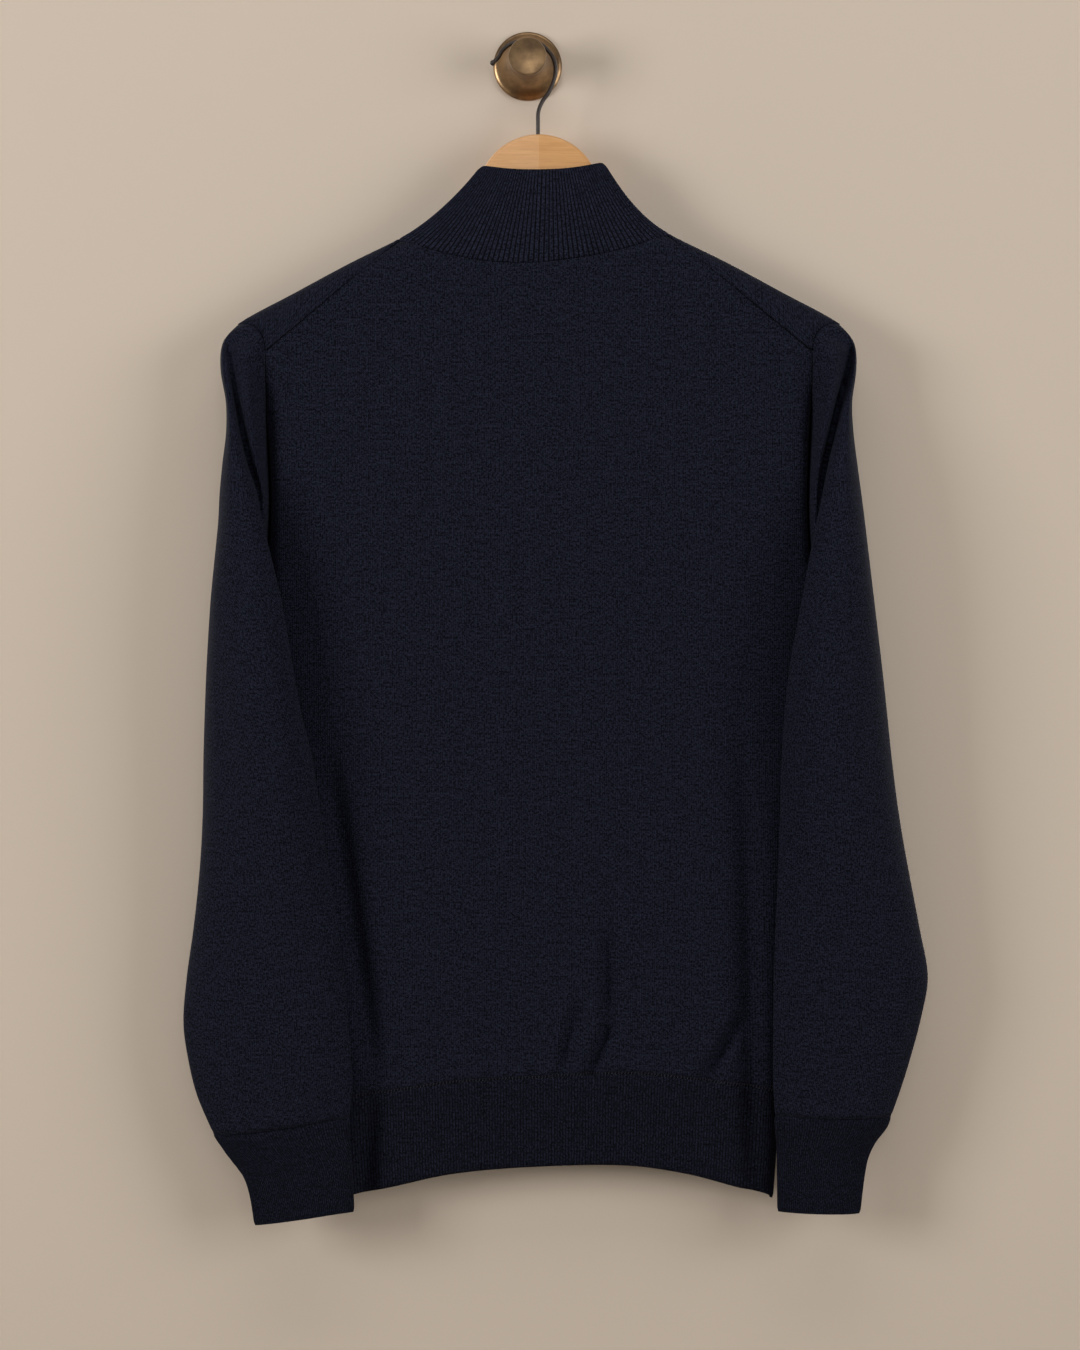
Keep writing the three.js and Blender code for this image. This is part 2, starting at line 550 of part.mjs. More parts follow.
function slider() {
  const outline = roundedOutline([at2(-3, -6), at2(3, -6), at2(4.1, 1), at2(3.8, 6), at2(-3.8, 6), at2(-4.1, 1)], 1.2);
  const body = plate(outline, sliderFront, 2, 0.4).translate(centre, 0, sliderZ);
  const lugs = [-1, 1].map((side) => {
    const lug = new THREE.CylinderGeometry(lugRadius, lugRadius, 1, 12).rotateZ(Math.PI / 2);
    return lug.translate(centre + side * 3.5, pullAxis.y - 0.4, sliderZ);
  });
  return joined([body, ...lugs]);
}
function pull() {
  const barrel = new THREE.CylinderGeometry(1.3, 1.3, 5.2, 12).rotateZ(Math.PI / 2);
  barrel.translate(centre, pullAxis.y, sliderZ);
  const half = [at2(1.7, 0), at2(2.1, -4), at2(3.2, -9), at2(3.4, -27)];
  const outline = roundedOutline([...half.map((p) => at2(-p.x, p.y)), ...half.reverse()], 1.2);
  const tab = plate(outline, pullAxis.y - 0.8, 1.6, 0.35).translate(centre, 0, sliderZ);
  return joined([barrel, tab]);
}

// Hanger: two wooden arms that meet at the centre, and the wire hook
const archRadius = 45.2;
const archTop = -56;
const woodGap = 5.5;           // from the ridge of the cloth down to the top of the wood
const woodTop = [
  ...evenly(7).map((t) => {
    const angle = t * THREE.MathUtils.degToRad(66);
    return at2(archRadius * Math.sin(angle), archTop - archRadius * (1 - Math.cos(angle)));
  }),
  at2(47, -94), at2(54, -108), at2(66, -119.5), at2(84, -129),
  ...[104, 125, 150, 175, 198, 212].map((out) => at2(out, ridge(out) - woodGap)),
  at2(217, -200), at2(219, -207),
];
const woodUnder = [at2(217, -214), at2(208, -219), at2(195, -213), at2(170, -199), at2(140, -182), at2(105, -163),
  at2(70, -142), at2(40, -121), at2(20, -107), at2(0, -100)];
function woodArm(side) {
  const edge = 3.4;
  const half = [...woodTop, ...woodUnder];
  const outline = [...half, ...half.slice(1, -1).reverse().map((p) => at2(-p.x, p.y))];
  const geometry = new THREE.ExtrudeGeometry(new THREE.Shape(outline), {
    depth: woodThick - 2 * edge, bevelEnabled: true, bevelSize: edge, bevelThickness: edge,
    bevelOffset: -edge, bevelSegments: 3, steps: 1,
  });
  geometry.rotateX(Math.PI / 2);
  geometry.translate(0, body[0].mid + woodThick / 2 - edge, 0);
  const position = geometry.attributes.position;
  for (let k = 0; k < position.count; k += 1) {
    position.setY(k, position.getY(k) + bow * (position.getX(k) / tipReach) ** 2);
  }
  const otherHalf = new THREE.BoxGeometry(2 * tipReach, 100, 300);
  otherHalf.translate(-side * (tipReach - 0.15), body[0].mid, archTop - 80);
  return meshOf(solid(geometry).subtract(solid(otherHalf))).translate(centre, 0, 0);
}
const hookY = body[0].mid;
const hookPath = new THREE.CatmullRomCurve3([
  [-25.5, -3], [-21.5, 1], [-18.5, 6], [-13.5, 10.3], [-7, 12.7], [1.1, 13.2], [8.5, 11.5], [14.5, 6.6], [18.6, 1],
  [20.5, -6], [20, -13.5], [16, -24], [10.6, -32], [8, -39], [7.7, -47], [7.7, archTop + 0.4],
].map(([x, z]) => new THREE.Vector3(x, hookY, z)), false, 'centripetal');
function tube(path, radius, sides, steps) {
  const circle = new THREE.Shape();
  circle.absarc(0, 0, radius, 0, 2 * Math.PI, false);
  const geometry = new THREE.ExtrudeGeometry(circle, { extrudePath: path, steps, curveSegments: sides / 2 });
  geometry.deleteAttribute('normal');
  geometry.deleteAttribute('uv');
  return mergeVertices(geometry, 1e-4);
}

// Wall knob: rose, hollow-curved neck and flat round head, turned in one piece
const knobNeck = 13.2 - wireRadius - 0.3;
const knobProfile = [
  [0, 0], [25.5, 0], [25.5, 2.4], [24.6, 3.2], [23, 4.2], [18.5, 9], [15, 15], [13, 21], [11.8, 27], [knobNeck, 30],
  [knobNeck, 34.8], [13.2, 36], [13.9, 38], [13.9, 44], [13.2, 45], [0, 45],
];
function knob() {
  const geometry = new THREE.LatheGeometry(knobProfile.map(([r, out]) => at2(r, out)), 28);
  geometry.rotateX(Math.PI);
  geometry.deleteAttribute('normal');
  geometry.deleteAttribute('uv');
  const merged = mergeVertices(geometry, 1e-4);
  return merged;
}

const group = new THREE.Group();
const finish = (color, roughness, metalness) => ({ color, roughness, metalness });
const wool = finish(0x16181f, 0.95, 0);
const ribWool = finish(0x14161d, 0.95, 0);
const brass = finish(0xa5885c, 0.35, 0.9);
const gunmetal = finish(0x3a3a3c, 0.4, 0.9);
function add(name, geometry, look) {
  const mesh = new THREE.Mesh(geometry, new THREE.MeshStandardMaterial(look));
  mesh.name = name;
  group.add(mesh);
}
add('back_panel', backPanel, wool);
add('front_panel', frontPanel, wool);
add('sleeve_left', sleeve(leftSleeve, -1, leftCuff), wool);
add('sleeve_right', sleeve(rightSleeve, 1, rightCuff), wool);
add('cuff_left', cuffBand(leftSleeve, -1, leftCuff), ribWool);
add('cuff_right', cuffBand(rightSleeve, 1, rightCuff), ribWool);
add('hem_back', hemBand(-1), ribWool);
add('hem_front', hemBand(1), ribWool);
add('collar', collar, ribWool);
add('zip_tape_left', zipStrip(-tapeWide, -0.2, 0, tapeThick, zipLevels), ribWool);
add('zip_tape_right', zipStrip(0.2, tapeWide, 0, tapeThick, zipLevels), ribWool);
add('zip_teeth', zipStrip(-teethHalf, teethHalf, teethLift, teethThick, zipLevels.slice(0, -1)), gunmetal);
add('zip_slider', slider(), gunmetal);
add('zip_pull', pull(), gunmetal);
add('hanger_left', woodArm(-1), finish(0xcf9f6d, 0.5, 0));
add('hanger_right', woodArm(1), finish(0xc9955c, 0.5, 0));
add('hanger_hook', tube(hookPath, wireRadius, 8, 36), finish(0x241817, 0.4, 0.6));
add('wall_knob', knob(), brass);

export default group;
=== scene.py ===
import math

import bmesh
import bpy
import numpy as np
from mathutils import Matrix, Vector


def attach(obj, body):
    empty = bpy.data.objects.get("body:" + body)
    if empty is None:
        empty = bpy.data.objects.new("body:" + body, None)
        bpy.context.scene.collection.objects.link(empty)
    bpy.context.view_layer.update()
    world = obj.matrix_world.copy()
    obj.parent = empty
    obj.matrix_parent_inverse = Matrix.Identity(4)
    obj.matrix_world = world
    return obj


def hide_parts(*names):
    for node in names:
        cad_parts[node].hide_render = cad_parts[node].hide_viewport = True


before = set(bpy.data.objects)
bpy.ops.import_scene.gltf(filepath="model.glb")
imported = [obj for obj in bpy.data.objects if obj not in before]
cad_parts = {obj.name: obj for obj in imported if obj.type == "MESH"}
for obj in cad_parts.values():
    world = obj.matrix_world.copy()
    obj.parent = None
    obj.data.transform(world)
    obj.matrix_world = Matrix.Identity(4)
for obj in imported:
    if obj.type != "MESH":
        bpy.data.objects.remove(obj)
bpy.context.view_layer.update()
print("frame loaded")

mm = 0.001

# Camera: level, straight at the wall, with its axis a little right of the knob
cameraSettings = {"place": (0.0092, -2.5, -0.453), "lens": 89.5, "sensor": 36}
cameraData = bpy.data.cameras.new("camera")
cameraData.lens = cameraSettings["lens"]
cameraData.sensor_width = cameraSettings["sensor"]
camera = bpy.data.objects.new("camera", cameraData)
camera.location = cameraSettings["place"]
camera.rotation_euler = (math.radians(90), 0, 0)
bpy.context.scene.collection.objects.link(camera)
bpy.context.scene.camera = camera


# Smooth reading of one column of a table along another
def read(table, along, key, at):
    order = np.argsort(table[along])
    x = np.array(table[along], float)[order]
    y = np.array(table[key], float)[order]
    before = np.maximum(np.arange(len(x)) - 1, 0)
    after = np.minimum(np.arange(len(x)) + 1, len(x) - 1)
    slope = (y[after] - y[before]) / (x[after] - x[before])
    at = np.clip(np.asarray(at, float), x[0], x[-1])
    k = np.clip(np.searchsorted(x, at, side="left") - 1, 0, len(x) - 2)
    span = x[k + 1] - x[k]
    t = (at - x[k]) / span
    ease = t * t * (3 - 2 * t)
    return (y[k] + (y[k + 1] - y[k]) * ease
            + span * (slope[k] * t * (1 - t) ** 2 - slope[k + 1] * t * t * (1 - t)))


def mix(a, b, t):
    return a + (b - a) * t


# Rounded line through points, with so many steps between each two
def throughPoints(points, closed, steps):
    points = np.array(points, float)
    count = len(points)
    line = []
    for i in range(count if closed else count - 1):
        b, c = points[i], points[(i + 1) % count]
        a = points[i - 1] if closed or i > 0 else 2 * b - c
        d = points[(i + 2) % count] if closed or i + 2 < count else 2 * c - b
        ab, bc, cd = (max(np.linalg.norm(q - p), 1e-6) ** 0.5 for p, q in ((a, b), (b, c), (c, d)))
        leave = ((b - a) / ab - (c - a) / (ab + bc) + (c - b) / bc) * bc
        arrive = ((c - b) / bc - (d - b) / (bc + cd) + (d - c) / cd) * bc
        t = (np.arange(steps) / steps)[:, None]
        line.append(b + leave * t + (3 * (c - b) - 2 * leave - arrive) * t ** 2
                    + (2 * (b - c) + leave + arrive) * t ** 3)
    line.append(points[:1] if closed else points[-1:])
    return np.concatenate(line)


# The same line with its points at equal distances
def evenSteps(line, count):
    run = np.concatenate([[0], np.cumsum(np.linalg.norm(np.diff(line, axis=0), axis=1))])
    at = np.linspace(0, run[-1], count)
    return np.stack([np.interp(at, run, line[:, k]) for k in range(line.shape[1])], axis=1)


# More rows between the rows of a grid, smooth from one to the next
def moreRows(rows, steps):
    gaps = np.linalg.norm(np.diff(rows, axis=0), axis=2).mean(axis=1)
    run = np.concatenate([[0], np.cumsum(gaps)])[:, None, None]
    before = np.maximum(np.arange(len(rows)) - 1, 0)
    after = np.minimum(np.arange(len(rows)) + 1, len(rows) - 1)
    slope = (rows[after] - rows[before]) / (run[after] - run[before])
    made = []
    for i in range(len(rows) - 1):
        span = run[i + 1] - run[i]
        for t in np.arange(steps[i]) / steps[i]:
            made.append(rows[i] + (rows[i + 1] - rows[i]) * t * t * (3 - 2 * t)
                        + span * (slope[i] * t * (1 - t) ** 2 - slope[i + 1] * t * t * (1 - t)))
    made.append(rows[-1])
    return np.array(made)


# Outward directions of a grid whose rows run down and whose columns run right, seen from outside
def outward(points, closed=False):
    wide = np.concatenate([points[:, -2:-1], points, points[:, 1:2]], axis=1) if closed else points
    right = np.gradient(wide, axis=1)
    right = right[:, 1:-1] if closed else right
    down = np.gradient(points, axis=0)
    turned = np.cross(down, right)
    return turned / np.maximum(np.linalg.norm(turned, axis=2, keepdims=True), 1e-9)


def raised(points, amount, closed=False):
    return points + outward(points, closed) * np.asarray(amount)[..., None]


# Lets the cloth turn in along its sewn edges, so that two pieces meet in a furrow
def turnedIn(points, edges, depth, width):
    line = np.concatenate([{"top": points[0], "bottom": points[-1], "left": points[:, 0],
                            "right": points[:, -1]}[edge] for edge in edges])
    near = np.array([np.sqrt(((row[:, None] - line[None]) ** 2).sum(axis=2)).min(axis=1) for row in points])
    return raised(points, -depth * np.exp(-(near / width) ** 2))


def asObject(name, form, smooth=True):
    mesh = bpy.data.meshes.new(name)
    form.to_mesh(mesh)
    form.free()
    mesh.polygons.foreach_set("use_smooth", [smooth] * len(mesh.polygons))
    made = bpy.data.objects.new(name, mesh)
    bpy.context.scene.collection.objects.link(made)
    return made


def clothGrid(name, points, cloth, closed=False, leaveOut=None):
    rows, columns = points.shape[:2]
    form = bmesh.new()
    bmesh.ops.create_grid(form, x_segments=columns - 1, y_segments=rows - 1, size=1)
    sheet = form.loops.layers.uv.new("cloth")
    places = {}
    for vert in form.verts:
        down, right = (1 - vert.co.y) / 2, (1 + vert.co.x) / 2
        places[vert] = (round(down * (rows - 1)), round(right * (columns - 1)))
    flat = (points * mm).tolist()
    drawn = cloth.tolist()
    for face in form.faces:
        for loop in face.loops:
            i, j = places[loop.vert]
            loop[sheet].uv = drawn[i][j]
    for vert, (i, j) in places.items():
        vert.co = flat[i][j]
    if leaveOut:
        bmesh.ops.delete(form, geom=[face for face in form.faces if leaveOut(face.calc_center_median())],
                         context="FACES")
    if closed:
        bmesh.ops.remove_doubles(form, verts=form.verts, dist=0.00002)
    return asObject(name, form)


def giveThickness(piece, thickness):
    wall = piece.modifiers.new("wall", "SOLIDIFY")
    wall.thickness = thickness * mm
    wall.offset = -1
    wall.use_even_offset = False


def finishPiece(piece, material, body, nodes=()):
    piece.data.materials.clear()
    piece.data.materials.append(material)
    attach(piece, body)
    if nodes:
        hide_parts(*nodes)


def linear(red, green, blue):
    parts = (red, green, blue)
    return tuple(((c / 255 + 0.055) / 1.055) ** 2.4 if c > 10 else c / 255 / 12.92 for c in parts) + (1,)


def newMaterial(name, **values):
    material = bpy.data.materials.new(name)
    material.use_nodes = True
    shader = material.node_tree.nodes["Principled BSDF"]
    for key, value in values.items():
        shader.inputs[key.replace("_", " ")].default_value = value
    return material, material.node_tree, shader


def addNode(tree, kind, links=None, **values):
    node = tree.nodes.new(kind)
    for key, value in values.items():
        if hasattr(node, key):
            setattr(node, key, value)
        else:
            node.inputs[key.replace("_", " ")].default_value = value
    for key, socket in (links or {}).items():
        tree.links.new(socket, node.inputs[key])
    return node


def sums(tree, operation, first, second=None, third=None):
    node = tree.nodes.new("ShaderNodeMath")
    node.operation = operation
    for k, value in enumerate((first, second, third)):
        if value is None:
            continue
        if isinstance(value, (int, float)):
            node.inputs[k].default_value = value
        else:
            tree.links.new(value, node.inputs[k])
    return node.outputs[0]


def mixColours(tree, share, first, second):
    node = tree.nodes.new("ShaderNodeMix")
    node.data_type = "RGBA"
    for socket, value in ((node.inputs[0], share), (node.inputs[6], first), (node.inputs[7], second)):
        if isinstance(value, bpy.types.NodeSocket):
            tree.links.new(value, socket)
        else:
            socket.default_value = value
    return node.outputs[2]


def bumped(tree, shader, height, strength, distance):
    bump = addNode(tree, "ShaderNodeBump", {"Height": height}, Strength=strength, Distance=distance)
    tree.links.new(bump.outputs[0], shader.inputs["Normal"])


# deep is used only as the colour of the painted shade in the rib valleys
yarn = {"dark": (6, 7.5, 14), "light": (33, 36, 52), "deep": (4, 4, 7)}


# Speckled knit. stitch is one loop's width and height in metres, rib the width of one rib or nothing,
# valleyShade how far the rib valleys are darkened: painted shade in the furrows between ribs
def knitMaterial(name, stitch, rib=0, tone=1.0, valleyShade=0.0):
    material, tree, shader = newMaterial(name, Roughness=0.95, Specular_IOR_Level=0.06,
                                         Sheen_Weight=0.04, Sheen_Roughness=0.5)
    shader.inputs["Sheen Tint"].default_value = linear(150, 155, 175)
    place = addNode(tree, "ShaderNodeTexCoord").outputs["UV"]
    apart = addNode(tree, "ShaderNodeSeparateXYZ", {"Vector": place})
    wide, tall = apart.outputs[0], apart.outputs[1]
    column = sums(tree, "DIVIDE", wide, stitch[0])
    row = sums(tree, "DIVIDE", tall, stitch[1])
    fromMiddle = sums(tree, "ABSOLUTE", sums(tree, "SUBTRACT", sums(tree, "FRACT", column), 0.5))
    slanted = sums(tree, "MULTIPLY_ADD", fromMiddle, 1.3, row)
    legs = sums(tree, "SINE", sums(tree, "MULTIPLY", slanted, 2 * math.pi))
    loops = sums(tree, "ADD", sums(tree, "MULTIPLY", legs, 0.25),
                 sums(tree, "COSINE", sums(tree, "MULTIPLY", fromMiddle, 3.6)))
    # melange: fibres of two tones, drawn out a little along each course
    speckPlace = addNode(tree, "ShaderNodeMapping", {"Vector": place}, Scale=(640, 640, 1)).outputs[0]
    speck = addNode(tree, "ShaderNodeTexNoise", {"Vector": speckPlace}, Scale=1.0, Detail=3.0,
                    Roughness=0.65)
    streakPlace = addNode(tree, "ShaderNodeMapping", {"Vector": place}, Scale=(90, 260, 1)).outputs[0]
    streak = addNode(tree, "ShaderNodeTexNoise", {"Vector": streakPlace}, Scale=1.0, Detail=2.0,
                     Roughness=0.5)
    both = sums(tree, "ADD", sums(tree, "MULTIPLY", speck.outputs[0], 0.86),
                sums(tree, "MULTIPLY", streak.outputs[0], 0.14))
    both = sums(tree, "ADD", both, sums(tree, "MULTIPLY_ADD", fromMiddle, -0.16, 0.04))
    share = addNode(tree, "ShaderNodeMapRange", {"Value": both}, From_Min=0.4, From_Max=0.62).outputs[0]
    dark, light = (tuple(c * tone for c in linear(*yarn[key])[:3]) + (1,) for key in ("dark", "light"))
    colour = mixColours(tree, share, dark, light)
    height = sums(tree, "ADD", loops, sums(tree, "MULTIPLY", speck.outputs[0], 0.5))
    if rib:
        # painted shade: the colour darkens towards the deep yarn colour in each rib valley, standing for the
        # shade between the ribs
        wave = sums(tree, "COSINE", sums(tree, "MULTIPLY", wide, 2 * math.pi / rib))
        furrow = addNode(tree, "ShaderNodeMapRange", {"Value": wave}, From_Min=-1.0, From_Max=0.2,
                         To_Min=valleyShade, To_Max=0.0).outputs[0]
        colour = mixColours(tree, furrow, colour, linear(*yarn["deep"]))
    tree.links.new(colour, shader.inputs["Base Color"])
    bumped(tree, shader, height, 0.35, 0.0006)
    return material


jerseyKnit = knitMaterial("jerseyKnit", (0.0016, 0.0012))
hemRib = knitMaterial("hemRib", (0.0010, 0.0012), rib=0.0020, tone=0.97, valleyShade=0.75)
collarRib = knitMaterial("collarRib", (0.0015, 0.0012), rib=0.0030, tone=1.4, valleyShade=0.9)


def threadMaterial():
    material, tree, shader = newMaterial("seamThread", Roughness=0.85, Specular_IOR_Level=0.2,
                                         Sheen_Weight=0.15)
    place = addNode(tree, "ShaderNodeTexCoord").outputs["Object"]
    noise = addNode(tree, "ShaderNodeTexNoise", {"Vector": place}, Scale=900.0, Detail=2.0)
    colour = mixColours(tree, noise.outputs[0], linear(15, 16, 23), linear(30, 32, 44))
    tree.links.new(colour, shader.inputs["Base Color"])
    bumped(tree, shader, noise.outputs[0], 0.3, 0.0002)
    return material


def tapeMaterial():
    material, tree, shader = newMaterial("zipTapeWeave", Roughness=0.8, Specular_IOR_Level=0.2,
                                         Sheen_Weight=0.1)
    place = addNode(tree, "ShaderNodeTexCoord").outputs["UV"]
    apart = addNode(tree, "ShaderNodeSeparateXYZ", {"Vector": place})
    slant = sums(tree, "ADD", sums(tree, "MULTIPLY", apart.outputs[0], 9000.0),
                 sums(tree, "MULTIPLY", apart.outputs[1], 6000.0))
    twill = sums(tree, "SINE", slant)
    share = sums(tree, "MULTIPLY_ADD", twill, 0.5, 0.5)
    colour = mixColours(tree, share, linear(13, 14, 20), linear(27, 28, 38))
    tree.links.new(colour, shader.inputs["Base Color"])
    bumped(tree, shader, twill, 0.3, 0.0002)
    return material


def gunmetalMaterial():
    material, tree, shader = newMaterial("zipGunmetal", Metallic=0.9)
    place = addNode(tree, "ShaderNodeTexCoord").outputs["Object"]
    wear = addNode(tree, "ShaderNodeTexNoise", {"Vector": place}, Scale=420.0, Detail=4.0)
    colour = mixColours(tree, wear.outputs[0], linear(66, 66, 70), linear(112, 110, 110))
    tree.links.new(colour, shader.inputs["Base Color"])
    rough = addNode(tree, "ShaderNodeMapRange", {"Value": wear.outputs[0]}, To_Min=0.28, To_Max=0.5)
    tree.links.new(rough.outputs[0], shader.inputs["Roughness"])
    bumped(tree, shader, wear.outputs[0], 0.08, 0.0002)
    return material


def woodMaterial(name, pale, warm):
    material, tree, shader = newMaterial(name, Coat_Weight=0.25, Coat_Roughness=0.3, Specular_IOR_Level=0.4)
    place = addNode(tree, "ShaderNodeTexCoord").outputs["Object"]
    grainPlace = addNode(tree, "ShaderNodeMapping", {"Vector": place}, Scale=(40, 500, 620)).outputs[0]
    grain = addNode(tree, "ShaderNodeTexNoise", {"Vector": grainPlace}, Scale=1.0, Detail=5.0, Roughness=0.6,
                    Distortion=0.6)
    broad = addNode(tree, "ShaderNodeTexNoise", {"Vector": place}, Scale=35.0, Detail=2.0)
    share = addNode(tree, "ShaderNodeMapRange", {"Value": grain.outputs[0]}, From_Min=0.35,
                    From_Max=0.68).outputs[0]
    grained = tuple(mix(p, w, 0.45) for p, w in zip(linear(*pale), linear(*warm)))
    colour = mixColours(tree, share, linear(*pale), grained)
    colour = mixColours(tree, sums(tree, "MULTIPLY", broad.outputs[0], 0.3), colour, linear(*warm))
    tree.links.new(colour, shader.inputs["Base Color"])
    rough = addNode(tree, "ShaderNodeMapRange", {"Value": grain.outputs[0]}, To_Min=0.42, To_Max=0.6)
    tree.links.new(rough.outputs[0], shader.inputs["Roughness"])
    bumped(tree, shader, grain.outputs[0], 0.08, 0.0003)
    return material


def brassMaterial():
    material, tree, shader = newMaterial("agedBrass", Metallic=1.0)
    place = addNode(tree, "ShaderNodeTexCoord").outputs["Object"]
    cloud = addNode(tree, "ShaderNodeTexNoise", {"Vector": place}, Scale=70.0, Detail=5.0, Roughness=0.6)
    apart = addNode(tree, "ShaderNodeSeparateXYZ", {"Vector": place})
    across, up = apart.outputs[0], apart.outputs[2]
    radius = sums(tree, "SQRT", sums(tree, "MULTIPLY_ADD", across, across, sums(tree, "MULTIPLY", up, up)))
    along = addNode(tree, "ShaderNodeCombineXYZ", {"X": radius, "Y": apart.outputs[1]})
    rings = addNode(tree, "ShaderNodeTexNoise", {"Vector": along.outputs[0]}, Scale=1500.0, Detail=3.0)
    share = addNode(tree, "ShaderNodeMapRange", {"Value": cloud.outputs[0]}, From_Min=0.35,
                    From_Max=0.7).outputs[0]
    colour = mixColours(tree, share, linear(160, 132, 98), linear(106, 85, 66))
    tree.links.new(colour, shader.inputs["Base Color"])
    rough = addNode(tree, "ShaderNodeMapRange", {"Value": cloud.outputs[0]}, To_Min=0.26, To_Max=0.42)
    tree.links.new(rough.outputs[0], shader.inputs["Roughness"])
    bumped(tree, shader, rings.outputs[0], 0.3, 0.0002)
    return material


def wireMaterial():
    material, tree, shader = newMaterial("blackEnamel", Coat_Weight=0.2, Metallic=0.2)
    place = addNode(tree, "ShaderNodeTexCoord").outputs["Object"]
    wear = addNode(tree, "ShaderNodeTexNoise", {"Vector": place}, Scale=500.0, Detail=4.0)
    colour = mixColours(tree, wear.outputs[0], linear(22, 17, 16), linear(52, 40, 36))
    tree.links.new(colour, shader.inputs["Base Color"])
    rough = addNode(tree, "ShaderNodeMapRange", {"Value": wear.outputs[0]}, To_Min=0.3, To_Max=0.5)
    tree.links.new(rough.outputs[0], shader.inputs["Roughness"])
    return material


seamThread = threadMaterial()
zipTapeWeave = tapeMaterial()
zipGunmetal = gunmetalMaterial()
# Lit and shaded copies of one wood: the left arm's paler tone is painted light and the right arm's darker,
# more orange tone is painted shade, because the light falls from the left
leftWoodLit = woodMaterial("leftWoodLit", (216, 170, 122), (182, 132, 84))
rightWoodShaded = woodMaterial("rightWoodShaded", (211, 162, 106), (176, 122, 70))
agedBrass = brassMaterial()
blackEnamel = wireMaterial()
print("materials made")


# The whole garment. Lengths from here on are in millimetres
garment = {"centre": 8.4, "jersey": 1.6, "rib": 2.4, "seam": -0.5, "ridgeDrop": 19.4, "bow": 5,
           "tipReach": 220, "underarm": -412}
centre = garment["centre"]
gap = garment["seam"] / 2

# Ridge of the shoulder: height at each distance out from the centre line
shoulder = {"out": (0, 101, 139, 183, 214, 223, 230, 234),
            "z": (-80, -131.5, -150, -173.4, -189.6, -196, -205, -216)}

# Hanging body: half width, length and depth of its rounded sides, and its middle plane
bodyForm = {"z": (-80, -340, -370, -412, -470, -530, -600, -680, -735, -765, -800, -850),
            "half": (228, 228, 219, 203, 200, 196, 191, 184, 179.5, 177, 175.5, 172),
            "round": (17, 17, 17, 17, 19, 22, 25, 27, 27, 26, 25, 24),
            "depth": (15.5, 15.5, 15.5, 15.8, 15.7, 15.4, 15, 14.5, 14.2, 13.2, 12.4, 12),
            "mid": (-32.5, -31.2, -30.8, -30, -29, -28, -27, -26, -25.4, -25, -24.5, -24)}

# Armhole seam below the shoulder, and over it
armhole = {"z": (-216, -262, -290, -325, -360, -385, -400, -412),
           "round": (199.8, 199.6, 198.5, 197.5, 199, 202, 205.5, 211.8)}
armholeTop = {"below": (0, 6, 12, 19, 26, 33, 41.2), "out": (222, 219.5, 214.5, 208.5, 203.5, 200.8, 199.8)}

# Hem band across the body: height of its seam and of its edge
hem = {"across": (-1, -0.8, -0.6, -0.35, 0, 0.35, 0.6, 0.8, 1),
       "seam": (-769, -763.5, -758.5, -751.5, -747.6, -744.6, -748.8, -754, -761),
       "edge": (-846, -837, -829, -819.5, -814, -813.2, -819.5, -829, -839)}

# Creases: a soft trough from one point to another, its width and its depth; a ridge is below nothing
backCreases = [
    (59, -640, 59, -718, 5, 7), (60, -712, 45, -750, 4.5, 8), (59, -655, 50, -600, 7, 2.2),
    (51, -650, 48, -735, 5, -1.6), (36, -695, 23, -748, 4.5, 6), (30, -700, 18, -745, 4, -1.2),
    (156, -706, 130, -752, 5.5, 8.5), (146, -706, 124, -746, 5, -1.6), (166, -850, 160, -520, 9, 8),
    (-144, -530, -110, -748, 9, 9.5), (-112, -760, -122, -850, 10, 7.5), (150, -560, 172, -380, 10, 1.6),
    (-190.5, -246, -190.5, -400, 4.6, 11), (209, -246, 209, -372, 4.4, 11), (-120, -300, -60, -230, 12, 1.1),
    (96, -180, 128, -300, 12, 1.2), (-88, -176, -116, -290, 12, 1.2), (78, -735, 82, -690, 4, 1.4),
    (-30, -740, -26, -690, 6, 1.4), (-66, -748, -70, -700, 6, 1.6), (104, -744, 110, -700, 5, 1.6),
    (-6, -742, -4, -705, 4, 1.2), (-88, -752, -84, -712, 4, 1.6),
]
frontCreases = [
    (-60, -745, -48, -640, 6, 4), (88, -748, 104, -650, 6, 4.5), (20, -742, 24, -700, 5, 2.5),
    (-120, -640, -138, -500, 9, 3), (126, -560, 148, -430, 9, 3), (-84, -200, -112, -320, 12, 1.2),
    (92, -205, 118, -330, 12, 1.3), (-20, -745, -24, -690, 6, 1.4),
]


def ridge(out):
    return read(shoulder, "out", "z", np.abs(out))


def quarterArc(a, b):
    return math.pi / 2 * np.sqrt((a * a + b * b) / 2)


def halfRound(z):
    turn = read(bodyForm, "z", "round", z)
    return read(bodyForm, "z", "half", z) - turn + quarterArc(turn, read(bodyForm, "z", "depth", z))


ridgeDrop = garment["ridgeDrop"]
ridgeArc = quarterArc(ridgeDrop, bodyForm["depth"][0])


def unrolled(out, below):
    return ridge(out) - ridgeDrop + ridgeArc - below


def creaseDepth(creases, x, z):
    depth = 0
    for x0, z0, x1, z1, width, deep in creases:
        length = math.hypot(x1 - x0, z1 - z0)
        t = ((x - x0) * (x1 - x0) + (z - z0) * (z1 - z0)) / length ** 2
        off = np.abs((x - x0) * (z1 - z0) - (z - z0) * (x1 - x0)) / length
        fade = np.maximum(0, 1 - np.abs((2 * t - 1) / 1.15) ** 3)
        depth = depth + deep * fade * np.exp(-(off / width) ** 2)
    return depth


# Slack in the cloth between the creases, deeper towards the hem
def slack(x, z, turn):
    low = np.clip((-z - 150) / 600, 0, 1)
    waves = (np.sin(x / 31 + turn + z / 210) * 0.5 + np.sin(x / 17.3 - z / 95 + 2 * turn) * 0.22
             + np.sin(z / 61 + x / 120 + turn) * 0.25)
    return waves * (0.35 + 0.75 * low)


